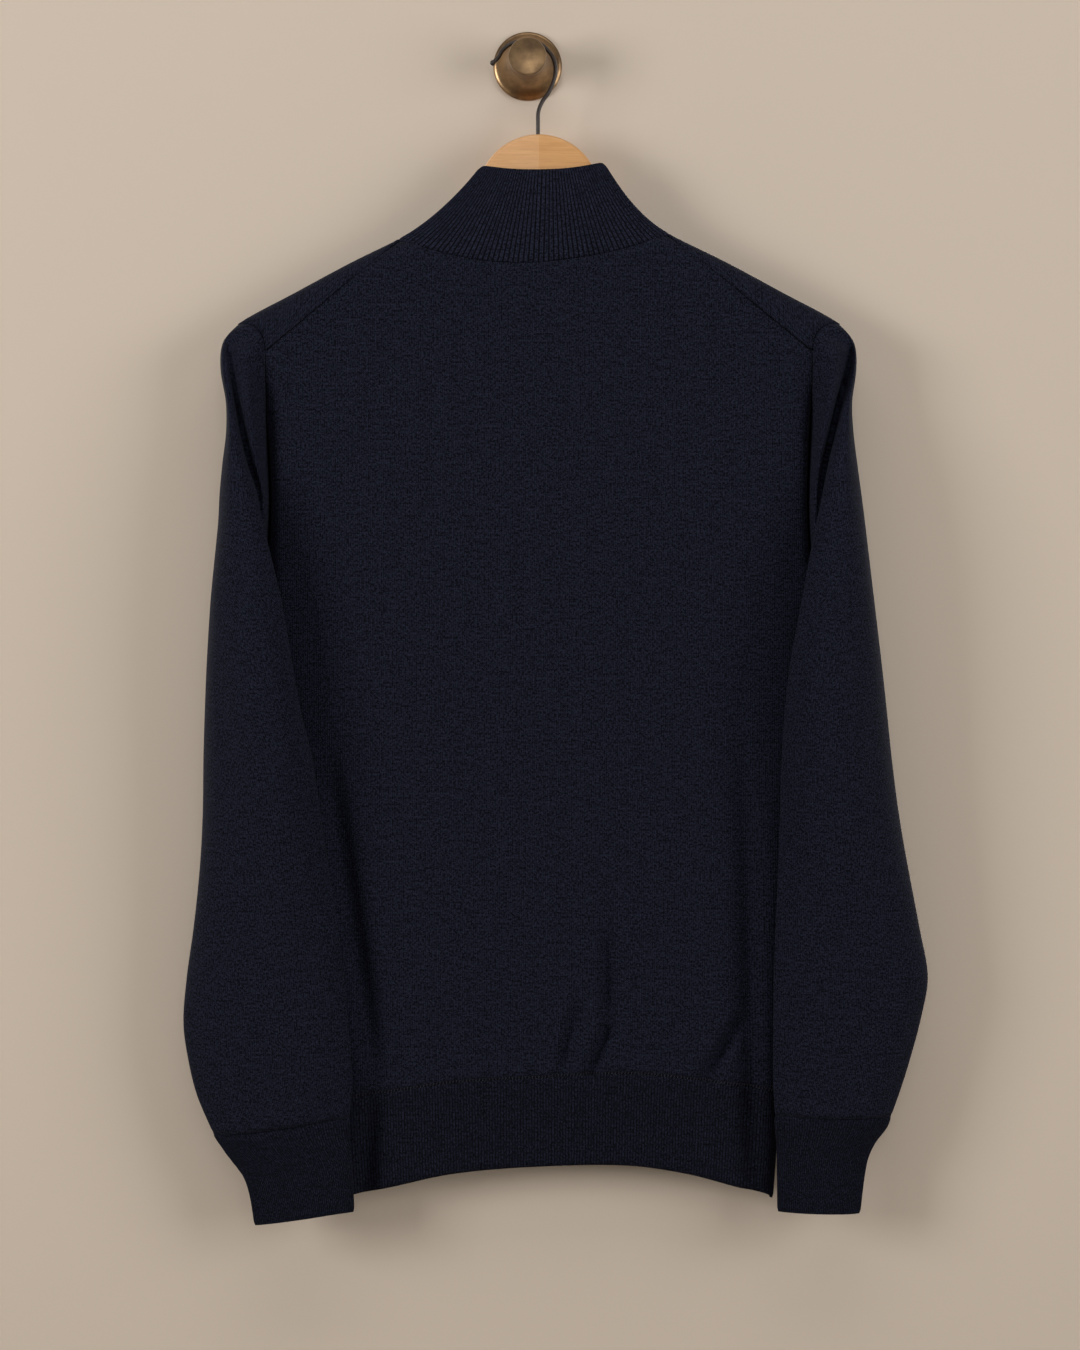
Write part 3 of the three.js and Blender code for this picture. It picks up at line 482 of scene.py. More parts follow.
# A point of the body's outer side. face is -1 for the back and 1 for the front, around the distance
# from that face's centre line, height is carried on past the shoulder's ridge as if unrolled.
def skin(face, around, height):
    around, height = np.broadcast_arrays(np.asarray(around, float), np.asarray(height, float))
    side = np.where(around < 0, -1.0, 1.0)
    turnLength = read(bodyForm, "z", "round", height)
    depth = read(bodyForm, "z", "depth", height)
    flat = read(bodyForm, "z", "half", height) - turnLength
    sideTurn = np.maximum(0, np.abs(around) - flat) / quarterArc(turnLength, depth) * math.pi / 2
    out = np.minimum(np.abs(around), flat) + turnLength * np.sin(sideTurn)
    top = ridge(out)
    rise = height - (top - ridgeDrop)
    overTurn = np.clip(rise / ridgeArc, 0, 2) * math.pi / 2
    z = np.where(rise > 0, top - ridgeDrop * (1 - np.sin(overTurn)), height)
    z = np.where(rise > 2 * ridgeArc, top - ridgeDrop - (rise - 2 * ridgeArc), z)
    x = centre + side * out
    turned = np.cos(sideTurn) * np.cos(overTurn)
    back = face * turned < 0
    trough = np.where(back, creaseDepth(backCreases, x, z) + slack(x, z, 0.4),
                      creaseDepth(frontCreases, x, z) + slack(x, z, 2.1))
    y = read(bodyForm, "z", "mid", height) + garment["bow"] * (out / garment["tipReach"]) ** 2
    return np.stack([x, y + face * turned * (depth - trough), z], axis=-1)


collarForm = {"baseCentre": 4.5, "topCentre": 11, "reach": 101, "backDrop": 20, "frontDrop": 85, "gap": -0.25,
              "slitTurn": 2.9, "ribs": 134, "stepsPerRib": 5, "rows": 40, "ribHeight": 0.9,
              "cornerTurn": 15, "cornerDrop": 3}
zipForm = {"length": 140, "slit": 5, "tapeWide": 12, "tapeThick": 1, "toothPitch": 2.0}


# Neck seam: turn is 0 at centre back, 90 at a side and 180 at centre front
def neckSeam(turn, grow):
    angle = np.radians(turn)
    shift = collarForm["baseCentre"] - centre
    reach = collarForm["reach"] + grow
    out = shift * np.abs(np.sin(angle)) + reach * np.sin(angle)
    drop = np.where(np.cos(angle) > 0, collarForm["backDrop"], collarForm["frontDrop"]) + grow
    toRight = 0.5 + 0.5 * np.sin(math.pi / 2 * np.clip(2 * np.sin(angle), -1, 1))
    return out, mix(ridge(shift - reach), ridge(shift + reach), toRight) - drop * np.cos(angle) ** 2


def belowRidge(out, z):
    fall = np.maximum(0, ridge(out) - z)
    over = ridgeArc * (1 - np.arcsin(np.clip(1 - fall / ridgeDrop, -1, 1)) * 2 / math.pi)
    return np.where(fall > ridgeDrop, ridgeArc + fall - ridgeDrop, over)


seamTurn = 78  # the shoulder seam meets the neck seam here


def shoulderSeam(side, t, lift):
    out, z = neckSeam(side * seamTurn, gap)
    return mix(out, side * (armhole["round"][0] - gap), t), mix(z, armhole["z"][0], t) + lift


def backTop(f):
    side = np.where(f < 0, -1, 1)
    share = 0.55
    neckOut, neckZ = neckSeam(np.clip(f / share, -1, 1) * seamTurn, gap)
    out, z = shoulderSeam(side, np.clip((np.abs(f) - share) / (1 - share), 0, 1), -gap)
    neck = np.abs(f) < share
    return np.where(neck, neckOut, out), np.where(neck, neckZ, z)


def frontTop(f):
    side = np.where(f < 0, -1, 1)
    share = 0.8
    turn = 180 - np.minimum(np.abs(f) / share, 1) * (180 - seamTurn)
    neckOut, neckZ = neckSeam(side * turn, gap)
    neckHeight = unrolled(neckOut, belowRidge(neckOut, neckZ) * np.where(turn < 90, -1, 1))
    out, z = shoulderSeam(side, np.clip((np.abs(f) - share) / (1 - share), 0, 1), gap)
    height = unrolled(out, -belowRidge(out, z))
    neck = np.abs(f) < share
    return np.where(neck, neckOut, out), np.where(neck, neckHeight, height)


def hemTop(f):
    z = read(hem, "across", "seam", f) + gap
    return f * (halfRound(z) - gap), z


def sideEdge(side, overShoulder):
    seamZ = float(read(hem, "across", "seam", side)) + gap
    z = np.concatenate([np.linspace(armhole["z"][0], garment["underarm"], 60)[:-1],
                        np.linspace(garment["underarm"], seamZ, 110)])
    around = np.where(z > garment["underarm"], read(armhole, "z", "round", z), halfRound(z)) - gap
    if overShoulder:
        below = np.linspace(-armholeTop["below"][-1], armholeTop["below"][-1], 50)[:-1]
        out = read(armholeTop, "below", "out", np.abs(below))
        around = np.concatenate([out - gap, around])
        z = np.concatenate([unrolled(out, below), z])
    return side * around, z


# Grid of a panel between its four edges, as distances around and heights
def panelGrid(top, across, overShoulder):
    leftAround, leftZ = sideEdge(-1, overShoulder)
    rightAround, rightZ = sideEdge(1, overShoulder)
    down = (leftZ - leftZ[0]) / (leftZ[-1] - leftZ[0])
    rightDown = (rightZ - rightZ[0]) / (rightZ[-1] - rightZ[0])
    t = down[:, None]
    g = (across + 1)[None] / 2
    ends = np.array([-1.0, 1.0])
    grids = []
    for k, left, right in ((0, leftAround, rightAround), (1, leftZ, rightZ)):
        right = np.interp(down, rightDown, right)
        low, high = hemTop(across)[k][None], top(across)[k][None]
        lowEnds, highEnds = hemTop(ends)[k], top(ends)[k]
        grids.append(mix(high, low, t) + mix(left[:, None], right[:, None], g)
                     - mix(mix(highEnds[0], highEnds[1], g), mix(lowEnds[0], lowEnds[1], g), t))
    return grids


# Columns spread evenly, but closer together at both sides
def spread(count):
    t = np.linspace(-1, 1, count)
    return t * (1.12 - 0.12 * t * t)


panels = {"columns": 141, "furrow": 0.3, "furrowWidth": 1.3}


def backPanel():
    around, height = panelGrid(backTop, spread(panels["columns"]), False)
    points = turnedIn(skin(-1, around, height), ("top", "bottom", "left", "right"), panels["furrow"],
                      panels["furrowWidth"])
    piece = clothGrid("back_cloth", points, np.stack([around, height], axis=-1) * mm)
    giveThickness(piece, garment["jersey"])
    finishPiece(piece, jerseyKnit, "garment", ["back_panel"])


# Evens out a grid between its edges, so that no cell folds over; the columns in held stay
def loosened(grid, held):
    grid = grid.copy()
    for _ in range(400):
        between = (grid[:-2, 1:-1] + grid[2:, 1:-1] + grid[1:-1, :-2] + grid[1:-1, 2:]) / 4
        grid[1:-1, 1:-1] = np.where(held[None, 1:-1], grid[1:-1, 1:-1], between)
    return grid


def frontPanel():
    across = spread(panels["columns"])
    slit = np.linspace(-0.025, 0.025, 5)
    across = np.concatenate([across[across < -0.04], slit, across[across > 0.04]])
    around, height = (loosened(grid, np.abs(across) < 0.026) for grid in panelGrid(frontTop, across, True))
    points = turnedIn(skin(1, around, height), ("top", "bottom", "left", "right"), panels["furrow"],
                      panels["furrowWidth"])
    zipBottom = float(frontTop(np.array(0.0))[1]) - zipForm["length"]
    middle = points[:, np.abs(across) < 1e-9][0, 0, 0]
    cloth = np.stack([-around, height], axis=-1) * mm
    piece = clothGrid("front_cloth", points[:, ::-1], cloth[:, ::-1],
                      leaveOut=lambda at: (abs(at.x / mm - middle) < 5.4 and at.y / mm > -30
                                           and at.z / mm > zipBottom))
    giveThickness(piece, garment["jersey"])
    finishPiece(piece, jerseyKnit, "garment", ["front_panel"])


backPanel()
frontPanel()
print("panels made")


# Hem bands, with a rib every two millimetres
hemForm = {"ribs": 176, "stepsPerRib": 4, "rows": 26, "ribHeight": 0.34}


def ribWave(steps, stepsPerRib):
    return 0.5 + 0.5 * np.cos(2 * math.pi * np.arange(steps) / stepsPerRib)


def hemBand(name, face, node):
    count = hemForm["ribs"] * hemForm["stepsPerRib"] + 1
    f = np.linspace(-1, 1, count)[None]
    t = np.linspace(0, 1, hemForm["rows"])[:, None]
    z = mix(read(hem, "across", "seam", f) - gap, read(hem, "across", "edge", f), t)
    around = f * (halfRound(z) - gap)
    points = skin(face, around, z)
    start, end = np.clip(t / 0.06, 0, 1), np.clip((1 - t) / 0.05, 0, 1)
    rise = (ribWave(count, hemForm["stepsPerRib"])[None] - 0.5) * hemForm["ribHeight"] * start
    rise = rise - 1.1 * (1 - start) ** 2 - 0.7 * (1 - end) ** 2
    uv = np.stack([f * hemForm["ribs"] * 0.001 + 0 * t, z * mm], axis=-1)
    if face > 0:
        points, rise, uv = points[:, ::-1], rise[:, ::-1], uv[:, ::-1]
    piece = clothGrid(name, raised(points, rise), uv)
    giveThickness(piece, garment["rib"] - 0.4)
    finishPiece(piece, hemRib, "garment", [node])


hemBand("hem_back_cloth", -1, "hem_back")
hemBand("hem_front_cloth", 1, "hem_front")
print("hem made")


# Upper edge of the standing collar, at the same turns as the neck seam
def collarTop(turn):
    angle = np.radians(np.abs(turn))
    side = np.sign(turn)
    back = np.minimum(angle, math.pi / 2)
    backX = collarForm["topCentre"] + side * 46.5 * np.sin(back) ** 0.85
    backY = -32 - 14 * np.maximum(np.cos(back), 0) ** 0.7
    past = np.maximum(angle - math.pi / 2, 0)
    half = 46.5 * np.cos(past) + 24 * np.sin(past) ** 2 * np.sin(2 * past)
    frontX = mix(collarForm["topCentre"], centre, np.sin(past)) + side * half
    frontY = -32 + 15.5 * np.sin(past) ** 0.5
    isBack = angle <= math.pi / 2
    z = np.where(isBack, -83 + 6 * np.sin(back) ** 2, -77 - 71 * np.sin(past) ** 2)
    corner = np.exp(-((np.degrees(angle) - 90) / collarForm["cornerTurn"]) ** 2)
    z = z - corner * collarForm["cornerDrop"] + 1.2 * side * np.minimum(np.sin(angle), 1)
    return np.stack([np.where(isBack, backX, frontX), np.where(isBack, backY, frontY), z], axis=-1)


def collarPoint(turn, t):
    turn, t = np.broadcast_arrays(np.asarray(turn, float), np.asarray(t, float))
    out, z = neckSeam(turn, gap - collarForm["gap"])
    height = unrolled(out, belowRidge(out, z))
    start = np.where((np.abs(turn) <= 90)[..., None], skin(-1, out, height), skin(1, out, height))
    point = start + (collarTop(turn) - start) * t[..., None]
    point[..., 2] -= 24 * t * (1 - t) * np.sin(np.radians(turn)) ** 2
    return point


def collar():
    span = 180 - collarForm["slitTurn"]
    fine = np.linspace(-span, span, 1601)
    base = collarPoint(fine, 0)
    run = np.concatenate([[0], np.cumsum(np.linalg.norm(np.diff(base, axis=0), axis=1))])
    count = collarForm["ribs"] * collarForm["stepsPerRib"] + 1
    turn = np.interp(np.linspace(0, run[-1], count), run, fine)[None]
    t = np.linspace(0, 1, collarForm["rows"])[::-1, None]
    points = collarPoint(turn, t)
    points[:, 0, 0] = centre - zipForm["slit"]
    points[:, -1, 0] = centre + zipForm["slit"]
    start, end = np.clip(t / 0.06, 0, 1), np.clip((1 - t) / 0.04, 0, 1)
    wave = (ribWave(count, collarForm["stepsPerRib"])[None] - 0.5) * collarForm["ribHeight"]
    slackness = 0.9 * np.sin(np.radians(turn) * 3 + 0.8) * np.sin(math.pi * t)
    rise = wave * start * (1 - 0.55 * t) + slackness - 1.3 * (1 - start) ** 2 - 0.8 * (1 - end) ** 2
    uv = np.stack([np.broadcast_to(np.arange(count)[None] / collarForm["stepsPerRib"] * 0.003, rise.shape),
                   np.broadcast_to(t * 0.075, rise.shape)], axis=-1)
    piece = clothGrid("collar_cloth", raised(points, rise), uv)
    giveThickness(piece, garment["rib"] - 0.4)
    finishPiece(piece, collarRib, "garment", ["collar"])


collar()
print("collar made")


# Horizontal sections by height: a plain name is a distance out from the centre line, a name with Y a
# place along Y. seam is the underarm seam, panel lies beside the armhole, tuck is the bottom of the long
# crease, edge the fold that laps over the body, face the broad side, outer the outline, wall the far side.
sleeveColumns = "z seam seamY panel panelY tuck tuckY edge edgeY faceY outer outerY wallY".split()
leftRows = [
    (-196, 204, -30, 214, -40, 221, -38, 222, -37, -36, 224, -28, -15),
    (-208, 204, -30, 216, -47, 226, -42, 228, -42, -42, 231.5, -29, -13),
    (-222, 204, -30, 214, -53, 226, -46.5, 228.5, -49, -48, 234.3, -32, -12),
    (-262, 204, -30, 210.5, -57, 219, -50, 221.9, -55, -57, 228.4, -38, -11.5),
    (-294, 204, -30, 207, -56, 212, -50, 215.3, -60, -65, 231.3, -40, -9.5),
    (-325, 204, -30, 201, -50.5, 203, -50.5, 205.1, -64, -73, 234.3, -41, -8.5),
    (-341, 204, -30, 201, -49.5, 203, -51.5, 200.6, -65, -76, 235, -42, -8.5),
    (-395, 204, -30, 205, -45, 202, -51, 187.5, -67, -81, 240, -43, -8),
    (-470, 204.5, -29, 197, -45, 184, -49.5, 175.1, -62, -84, 243.8, -42, -8),
    (-515, 202, -28, 194, -44, 174, -48.5, 164.2, -58, -82, 245.9, -41, -8),
    (-581, 197, -27, 188, -42.5, 164, -46.5, 154.7, -55, -77, 248.1, -40, -9),
    (-640, 193, -27, 182, -41.5, 156, -45, 146.7, -52, -72, 253.2, -38, -11),
    (-705, 187, -27, 176, -40.5, 149, -43.5, 139.4, -50, -67, 260.5, -38, -15),
    (-749, 182, -29, 172, -40.5, 146, -43, 135.7, -49, -62.5, 251.8, -40, -21),
    (-771, 179, -32, 169, -40.5, 146, -42.5, 137.2, -48.5, -59.5, 242.3, -43, -27),
    (-790, 177, -35, 167, -40.5, 147, -42.5, 138.4, -48.5, -58, 229.5, -45.5, -32),
    (-807, 175, -36.5, 165, -40.5, 147, -43, 136.8, -49, -57, 216.7, -47, -35),
    (-822, 173, -37, 164, -40.5, 146, -43, 135.8, -49, -56.5, 211.6, -47, -36),
    (-860, 171, -37.5, 162, -40.5, 144, -43, 134.3, -49, -56, 205.8, -47, -36.5),
]
rightRows = [
    (-196, 204, -30, 214, -40, 221, -38, 222, -37, -36, 223.5, -28, -15),
    (-208, 204, -30, 216, -48, 226, -40, 228, -39, -40, 231, -29, -13),
    (-222, 204, -30, 215, -55, 228, -38, 230.6, -41, -42, 233.7, -32, -12),
    (-252, 204, -30, 212, -57, 220.5, -42, 223, -48, -51, 229.6, -38, -12),
    (-281, 204, -30, 207, -57, 213.5, -45, 216.5, -56, -62, 230.8, -40, -10),
    (-307, 204, -30, 203.5, -53, 207.5, -48, 210.3, -62, -69, 234.4, -41, -9),
    (-346, 204, -30, 201, -49.5, 203.5, -51.5, 200.4, -65, -77, 239.5, -42, -8.5),
    (-399, 204, -30, 205, -45, 203, -51, 190.6, -67, -82, 245.4, -43, -8),
    (-458, 205, -29, 198, -45.5, 190.5, -50, 181.1, -62, -84, 251.9, -42, -8),
    (-530, 201, -28, 194, -43.5, 184, -48.5, 175.3, -57, -80, 260.7, -41, -8),
    (-581, 197.5, -27, 190, -42.5, 183, -47.5, 174.5, -55, -76, 268.7, -40, -9),
    (-654, 192.5, -27, 186, -41.5, 181, -46, 172.4, -52, -71, 281.5, -38, -11),
    (-672, 191, -27, 185, -41, 180, -45.5, 171.8, -51.5, -70, 284.8, -38, -12),
    (-705, 188.5, -27, 183.5, -40.5, 179.5, -45, 170.9, -50, -67, 279.6, -38, -15),
    (-749, 185.5, -29, 181.5, -40.5, 178.5, -44, 170.5, -49, -62, 267.3, -40, -21),
    (-780, 184.5, -32, 181, -40, 179, -43.5, 172.3, -48, -58, 255.6, -42, -27),
    (-793, 184.5, -33.5, 181, -39.5, 179.5, -43, 173.5, -47, -56, 246.1, -42.5, -29.5),
    (-807, 184.5, -34.5, 181, -39.5, 179.5, -42.5, 174, -46, -54.5, 240.2, -43, -31.5),
    (-850, 184.5, -35, 181, -39.5, 180, -42, 174.5, -45.5, -53, 234.4, -43, -32),
]


def columns(rows):
    return {name: [row[k] for row in rows] for k, name in enumerate(sleeveColumns)}


# Soft folds of a sleeve: where round it (0 to 10), from and to which height, how far it moves round on the
# way, its width in the same shares and its depth
sleeves = {
    "left": {"side": -1, "rows": columns(leftRows), "seamTop": -776, "edge": -845, "tilt": 12,
             "folds": [(2.0, -212, -345, 0.0, 0.3, 2.2), (4.6, -300, -420, 0.5, 0.35, 1.6),
                       (5.2, -560, -700, -0.6, 0.4, 1.8),
                       (4.0, -620, -740, 0.3, 0.3, 1.5), (5.8, -440, -560, -0.4, 0.4, 1.4),
                       (8.2, -400, -560, 0.5, 0.4, 2.2), (8.8, -600, -720, -0.4, 0.35, 2.0),
                       (4.9, -690, -772, 0.2, 0.25, 1.6), (7.4, -250, -380, 0.3, 0.4, 1.6)]},
    "right": {"side": 1, "rows": columns(rightRows), "seamTop": -773, "edge": -844, "tilt": 3,
              "folds": [(2.0, -212, -345, 0.0, 0.3, 3), (4.7, -320, -450, 0.6, 0.35, 1.6),
                       (5.1, -600, -720, -0.5, 0.4, 2.0),
                        (5.7, -640, -770, -0.7, 0.35, 1.8), (4.2, -700, -772, 0.2, 0.25, 1.6),
                        (8.4, -420, -580, 0.4, 0.4, 2.2), (8.9, -620, -740, -0.5, 0.35, 1.8),
                        (7.5, -260, -380, 0.3, 0.4, 1.5)]},
}
sleeveStops = [("seam", 0), ("panel", 0.4), ("tuck", 0.7), ("edge", 0.8), ("brow", 0.88), ("face", 0.95),
               ("flank", 1), ("outer", 1), ("far", 0.9), ("wall", 0.55), ("seam", 0)]
sleeveLevels = [(-225, 21), (-234, 20), (-246, 15), (-262, 9), (-279, 4), (-298, 0), (-320, 0), (-341, 0),
                (-366, 0), (-392, 0), (-412, 0), (-440, 0), (-475, 0), (-515, 0), (-558, 0), (-600, 0),
                (-640, 0), (-674, 0), (-704, 0), (-730, 0), (-752, 0)]
stepsPerStop = 9


def sleeveStop(rows, name, z):
    at = {key: float(read(rows, "z", key, z)) for key in sleeveColumns[1:]}
    places = {
        "seam": (at["seam"], at["seamY"]), "panel": (at["panel"], at["panelY"]),
        "tuck": (at["tuck"], at["tuckY"]), "edge": (at["edge"], at["edgeY"]),
        "brow": (mix(at["edge"], at["outer"], 0.2), mix(at["edgeY"], at["faceY"], 0.8)),
        "face": (mix(at["edge"], at["outer"], 0.5), at["faceY"]),
        "flank": (mix(at["edge"], at["outer"], 0.87), mix(at["faceY"], at["outerY"], 0.4)),
        "outer": (at["outer"], at["outerY"]),
        "far": (mix(at["outer"], at["seam"], 0.18), mix(at["outerY"], at["wallY"], 0.75)),
        "wall": (mix(at["outer"], at["seam"], 0.6), at["wallY"]),
    }
    return places[name]


def sleeveRing(cut, z, lift, tilt, steps=stepsPerStop):
    points = []
    for k, (name, share) in enumerate(sleeveStops):
        height = z + lift * share
        if name == "seam" and z > garment["underarm"]:
            around = cut["side"] * (float(read(armhole, "z", "round", z)) - gap)
            points.append(skin(1 if k else -1, around, z))
            continue
        out, y = sleeveStop(cut["rows"], name, height)
        slope = tilt * min(max((out - 140) / 80, 0), 1)
        points.append((centre + cut["side"] * out, y, height - slope))
    if z <= garment["underarm"]:
        return throughPoints(points[:-1], True, steps)
    return throughPoints(points, False, steps)


def sleeveHead(side):
    count = stepsPerStop * (len(sleeveStops) - 1)
    below = armholeTop["below"][-1] * (2 * np.arange(count + 1) / count - 1)
    out = read(armholeTop, "below", "out", np.abs(below))
    return skin(1, side * (out - gap), unrolled(out, below))


def sleeve(name, cut, node):
    def tiltAt(z):
        return cut["tilt"] * min(max((z + 650) / (cut["seamTop"] + 650), 0), 1)
    levels = sleeveLevels + [(cut["seamTop"] + gap, 0)]
    rings = np.array([sleeveHead(cut["side"])] + [sleeveRing(cut, z, lift, tiltAt(z)) for z, lift in levels])
    lengths = np.linalg.norm(np.diff(rings, axis=0), axis=2).mean(axis=1)
    points = moreRows(rings, np.maximum(2, np.round(lengths / 3.2)).astype(int))
    around = np.linspace(0, 10, points.shape[1])[None]
    z = points[..., 2]
    depth = np.zeros(z.shape)
    for where, top, bottom, drift, width, deep in cut["folds"]:
        t = (z - top) / (bottom - top)
        fade = np.maximum(0, 1 - np.abs((2 * t - 1) / 1.1) ** 3)
        depth += deep * fade * np.exp(-((around - where - drift * t) / width) ** 2)
    ends = np.clip(around, 0, 1) * np.clip(10 - around, 0, 1)
    depth += ends * 0.6 * np.sin(z / 34 + around * 1.7) * np.clip((-z - 250) / 200, 0, 1)
    girth = np.linalg.norm(np.diff(points, axis=1), axis=2)
    along = np.concatenate([np.zeros((len(points), 1)), np.cumsum(girth, axis=1)], axis=1)
    points = raised(points, -depth if cut["side"] > 0 else depth)
    open_ = z[:, :1] > garment["underarm"]
    turnedPoints = turnedIn(points, ("top", "bottom"), 0.4 * cut["side"], 1.6)
    sides = turnedIn(points, ("left", "right"), 0.5 * cut["side"], 1.8)
    points = turnedPoints + np.where(open_[..., None], sides - points, 0)
    points[~open_[:, 0], -1] = points[~open_[:, 0], 0]
    cloth = np.stack([along, z], axis=-1) * mm
    if cut["side"] < 0:
        points, cloth = points[:, ::-1], cloth[:, ::-1]
    piece = clothGrid(name, points, cloth, closed=True)
    giveThickness(piece, garment["jersey"])
    finishPiece(piece, jerseyKnit, "garment", [node])


# Cuffs: the end of a sleeve carried on as a ribbed tube
cuffForm = {"stepsPerRib": 4, "rows": 26, "ribHeight": 0.34, "ribWidth": 2.0}


def cuff(name, cut, node):
    rings = []
    count = 0
    for t in np.linspace(0, 1, cuffForm["rows"]):
        z = mix(cut["seamTop"] - gap, cut["edge"], t)
        ring = sleeveRing(cut, z, 0, cut["tilt"], steps=24)
        if not count:
            girth = np.linalg.norm(np.diff(ring, axis=0), axis=1).sum()
            count = round(girth / cuffForm["ribWidth"]) * cuffForm["stepsPerRib"] + 1
        rings.append(evenSteps(ring, count))
    points = np.array(rings)
    t = np.linspace(0, 1, cuffForm["rows"])[:, None]
    start, end = np.clip(t / 0.06, 0, 1), np.clip((1 - t) / 0.05, 0, 1)
    rise = (ribWave(count, cuffForm["stepsPerRib"])[None] - 0.5) * cuffForm["ribHeight"] * start
    rise = rise - 1.1 * (1 - start) ** 2 - 0.7 * (1 - end) ** 2
    points = raised(points, rise * cut["side"], closed=True)
    ribs = np.arange(count) / cuffForm["stepsPerRib"] * 0.002
    cloth = np.stack([np.broadcast_to(ribs[None], rise.shape), points[..., 2] * mm], axis=-1)
    if cut["side"] < 0:
        points, cloth = points[:, ::-1], cloth[:, ::-1]
    piece = clothGrid(name, points, cloth, closed=True)
    giveThickness(piece, garment["rib"] - 0.4)
    finishPiece(piece, hemRib, "garment", [node])


for hand in ("left", "right"):
    sleeve(f"sleeve_{hand}_cloth", sleeves[hand], f"sleeve_{hand}")
    cuff(f"cuff_{hand}_cloth", sleeves[hand], f"cuff_{hand}")
print("sleeves made")


# Zip: tapes behind the slit, with the closed teeth between them
zipTop = float(collarPoint(180, 1)[2]) - 1
zipBottom = float(frontTop(np.array(0.0))[1]) - zipForm["length"]
zipBase = float(neckSeam(180, 0)[1])
collarTopZ = float(collarPoint(180, 1)[2])


def frontY(z):
    z = np.asarray(z, float)
    onCollar = collarPoint(180, np.clip((z - zipBase) / (collarTopZ - zipBase), 0, 1))[..., 1]
    return np.where(z > zipBase, onCollar, skin(1, 0, z)[..., 1])


def tapeY(z):
    inset = np.where(z > zipBottom + zipForm["length"] - 8, garment["rib"], garment["jersey"])
    return np.minimum(frontY(z) - garment["jersey"], frontY(np.minimum(z + 6, zipTop)) - inset) - 0.6


def zipTape(name, start, end, node):
    z = np.linspace(zipTop, zipBottom - 6, 90)[:, None]
    x = np.linspace(end, start, 9)[None]
    points = np.stack(np.broadcast_arrays(centre + x, tapeY(z), z), axis=-1)
    piece = clothGrid(name, points, np.stack(np.broadcast_arrays(x * mm, z * mm), axis=-1))
    giveThickness(piece, zipForm["tapeThick"])
    finishPiece(piece, zipTapeWeave, "garment", [node])


def zipTeeth():
    form = bmesh.new()
    count = int((zipTop - zipBottom) / zipForm["toothPitch"] * 2)
    for k in range(count):
        z = zipTop - 2 - k * zipForm["toothPitch"] / 2
        made = bmesh.ops.create_cube(form, size=1)["verts"]
        side = 1 if k % 2 else -1
        place = Vector((centre + side * 0.75, float(tapeY(z)) + 1.05, z)) * mm
        shape = Matrix.Diagonal((3.1 * mm, 1.5 * mm, 0.82 * mm, 1))
        bmesh.ops.transform(form, verts=made, matrix=Matrix.Translation(place) @ shape)
    bmesh.ops.bevel(form, geom=list(form.edges), offset=0.0002, affect="EDGES", segments=1, profile=0.5,
                    material=-1)
    stop = bmesh.ops.create_cube(form, size=1)["verts"]
    place = Vector((centre, float(tapeY(zipBottom + 3)) + 1.1, zipBottom + 2)) * mm
    shape = Matrix.Diagonal((4.8 * mm, 1.5 * mm, 3 * mm, 1))
    bmesh.ops.transform(form, verts=stop, matrix=Matrix.Translation(place) @ shape)
    piece = asObject("zip_teeth_row", form, smooth=False)
    finishPiece(piece, zipGunmetal, "garment", ["zip_teeth"])


zipTape("zip_tape_left_cloth", -zipForm["tapeWide"], -0.2, "zip_tape_left")
zipTape("zip_tape_right_cloth", 0.2, zipForm["tapeWide"], "zip_tape_right")
zipTeeth()
for node in ("zip_slider", "zip_pull"):
    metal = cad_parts[node].data.materials
    metal.clear()
    metal.append(zipGunmetal)
print("zip made")


# A row of short threads along a seam; size is their length, width and slant
def stitches(name, line, outwards, pitch, size):
    steps = int(np.linalg.norm(np.diff(line, axis=0), axis=1).sum() / pitch)
    both = evenSteps(np.concatenate([line, outwards], axis=1) * np.array([1] * 3 + [0.001] * 3), steps)
    form = bmesh.new()
    for k in range(steps - 1):
        place = (both[k, :3] + both[k + 1, :3]) / 2
        along = Vector(both[k + 1, :3] - both[k, :3]).normalized()
        out = Vector(both[k, 3:]).normalized()
        turn = Matrix((along, out.cross(along), out)).transposed().to_4x4()
        made = bmesh.ops.create_uvsphere(form, u_segments=6, v_segments=4, radius=0.5)["verts"]
        shape = Matrix.Diagonal((size[0] * mm, size[1] * mm, size[1] * 0.7 * mm, 1))
        slant = Matrix.Rotation(math.radians(size[2]), 4, "Z")
        move = Matrix.Translation(Vector(place) * mm)
        bmesh.ops.transform(form, verts=made, matrix=move @ turn @ slant @ shape)
    piece = asObject(name, form)
    finishPiece(piece, seamThread, "garment")


def hemStitches(name, face):
    f = np.linspace(-0.985, 0.985, 300)
    z = read(hem, "across", "seam", f)
    line = skin(face, f * halfRound(z), z)
    ahead = skin(face, f * halfRound(z), z - 2) - skin(face, f * halfRound(z), z + 2)
    outwards = np.cross(ahead, np.gradient(line, axis=0)) * -face
    outwards = outwards / np.linalg.norm(outwards, axis=1, keepdims=True)
    stitches(name, line - 0.35 * outwards, outwards, 2.4, (2.4, 0.85, 78))


hemStitches("hem_back_stitches", -1)
hemStitches("hem_front_stitches", 1)
print("stitches made")


# Hanger: two arms that meet at the centre, with rounded edges
hangerForm = {"archRadius": 45.2, "archTop": -56, "thick": 13, "edge": 3.4, "edgeSteps": 6,
              "clothGap": 5.5}


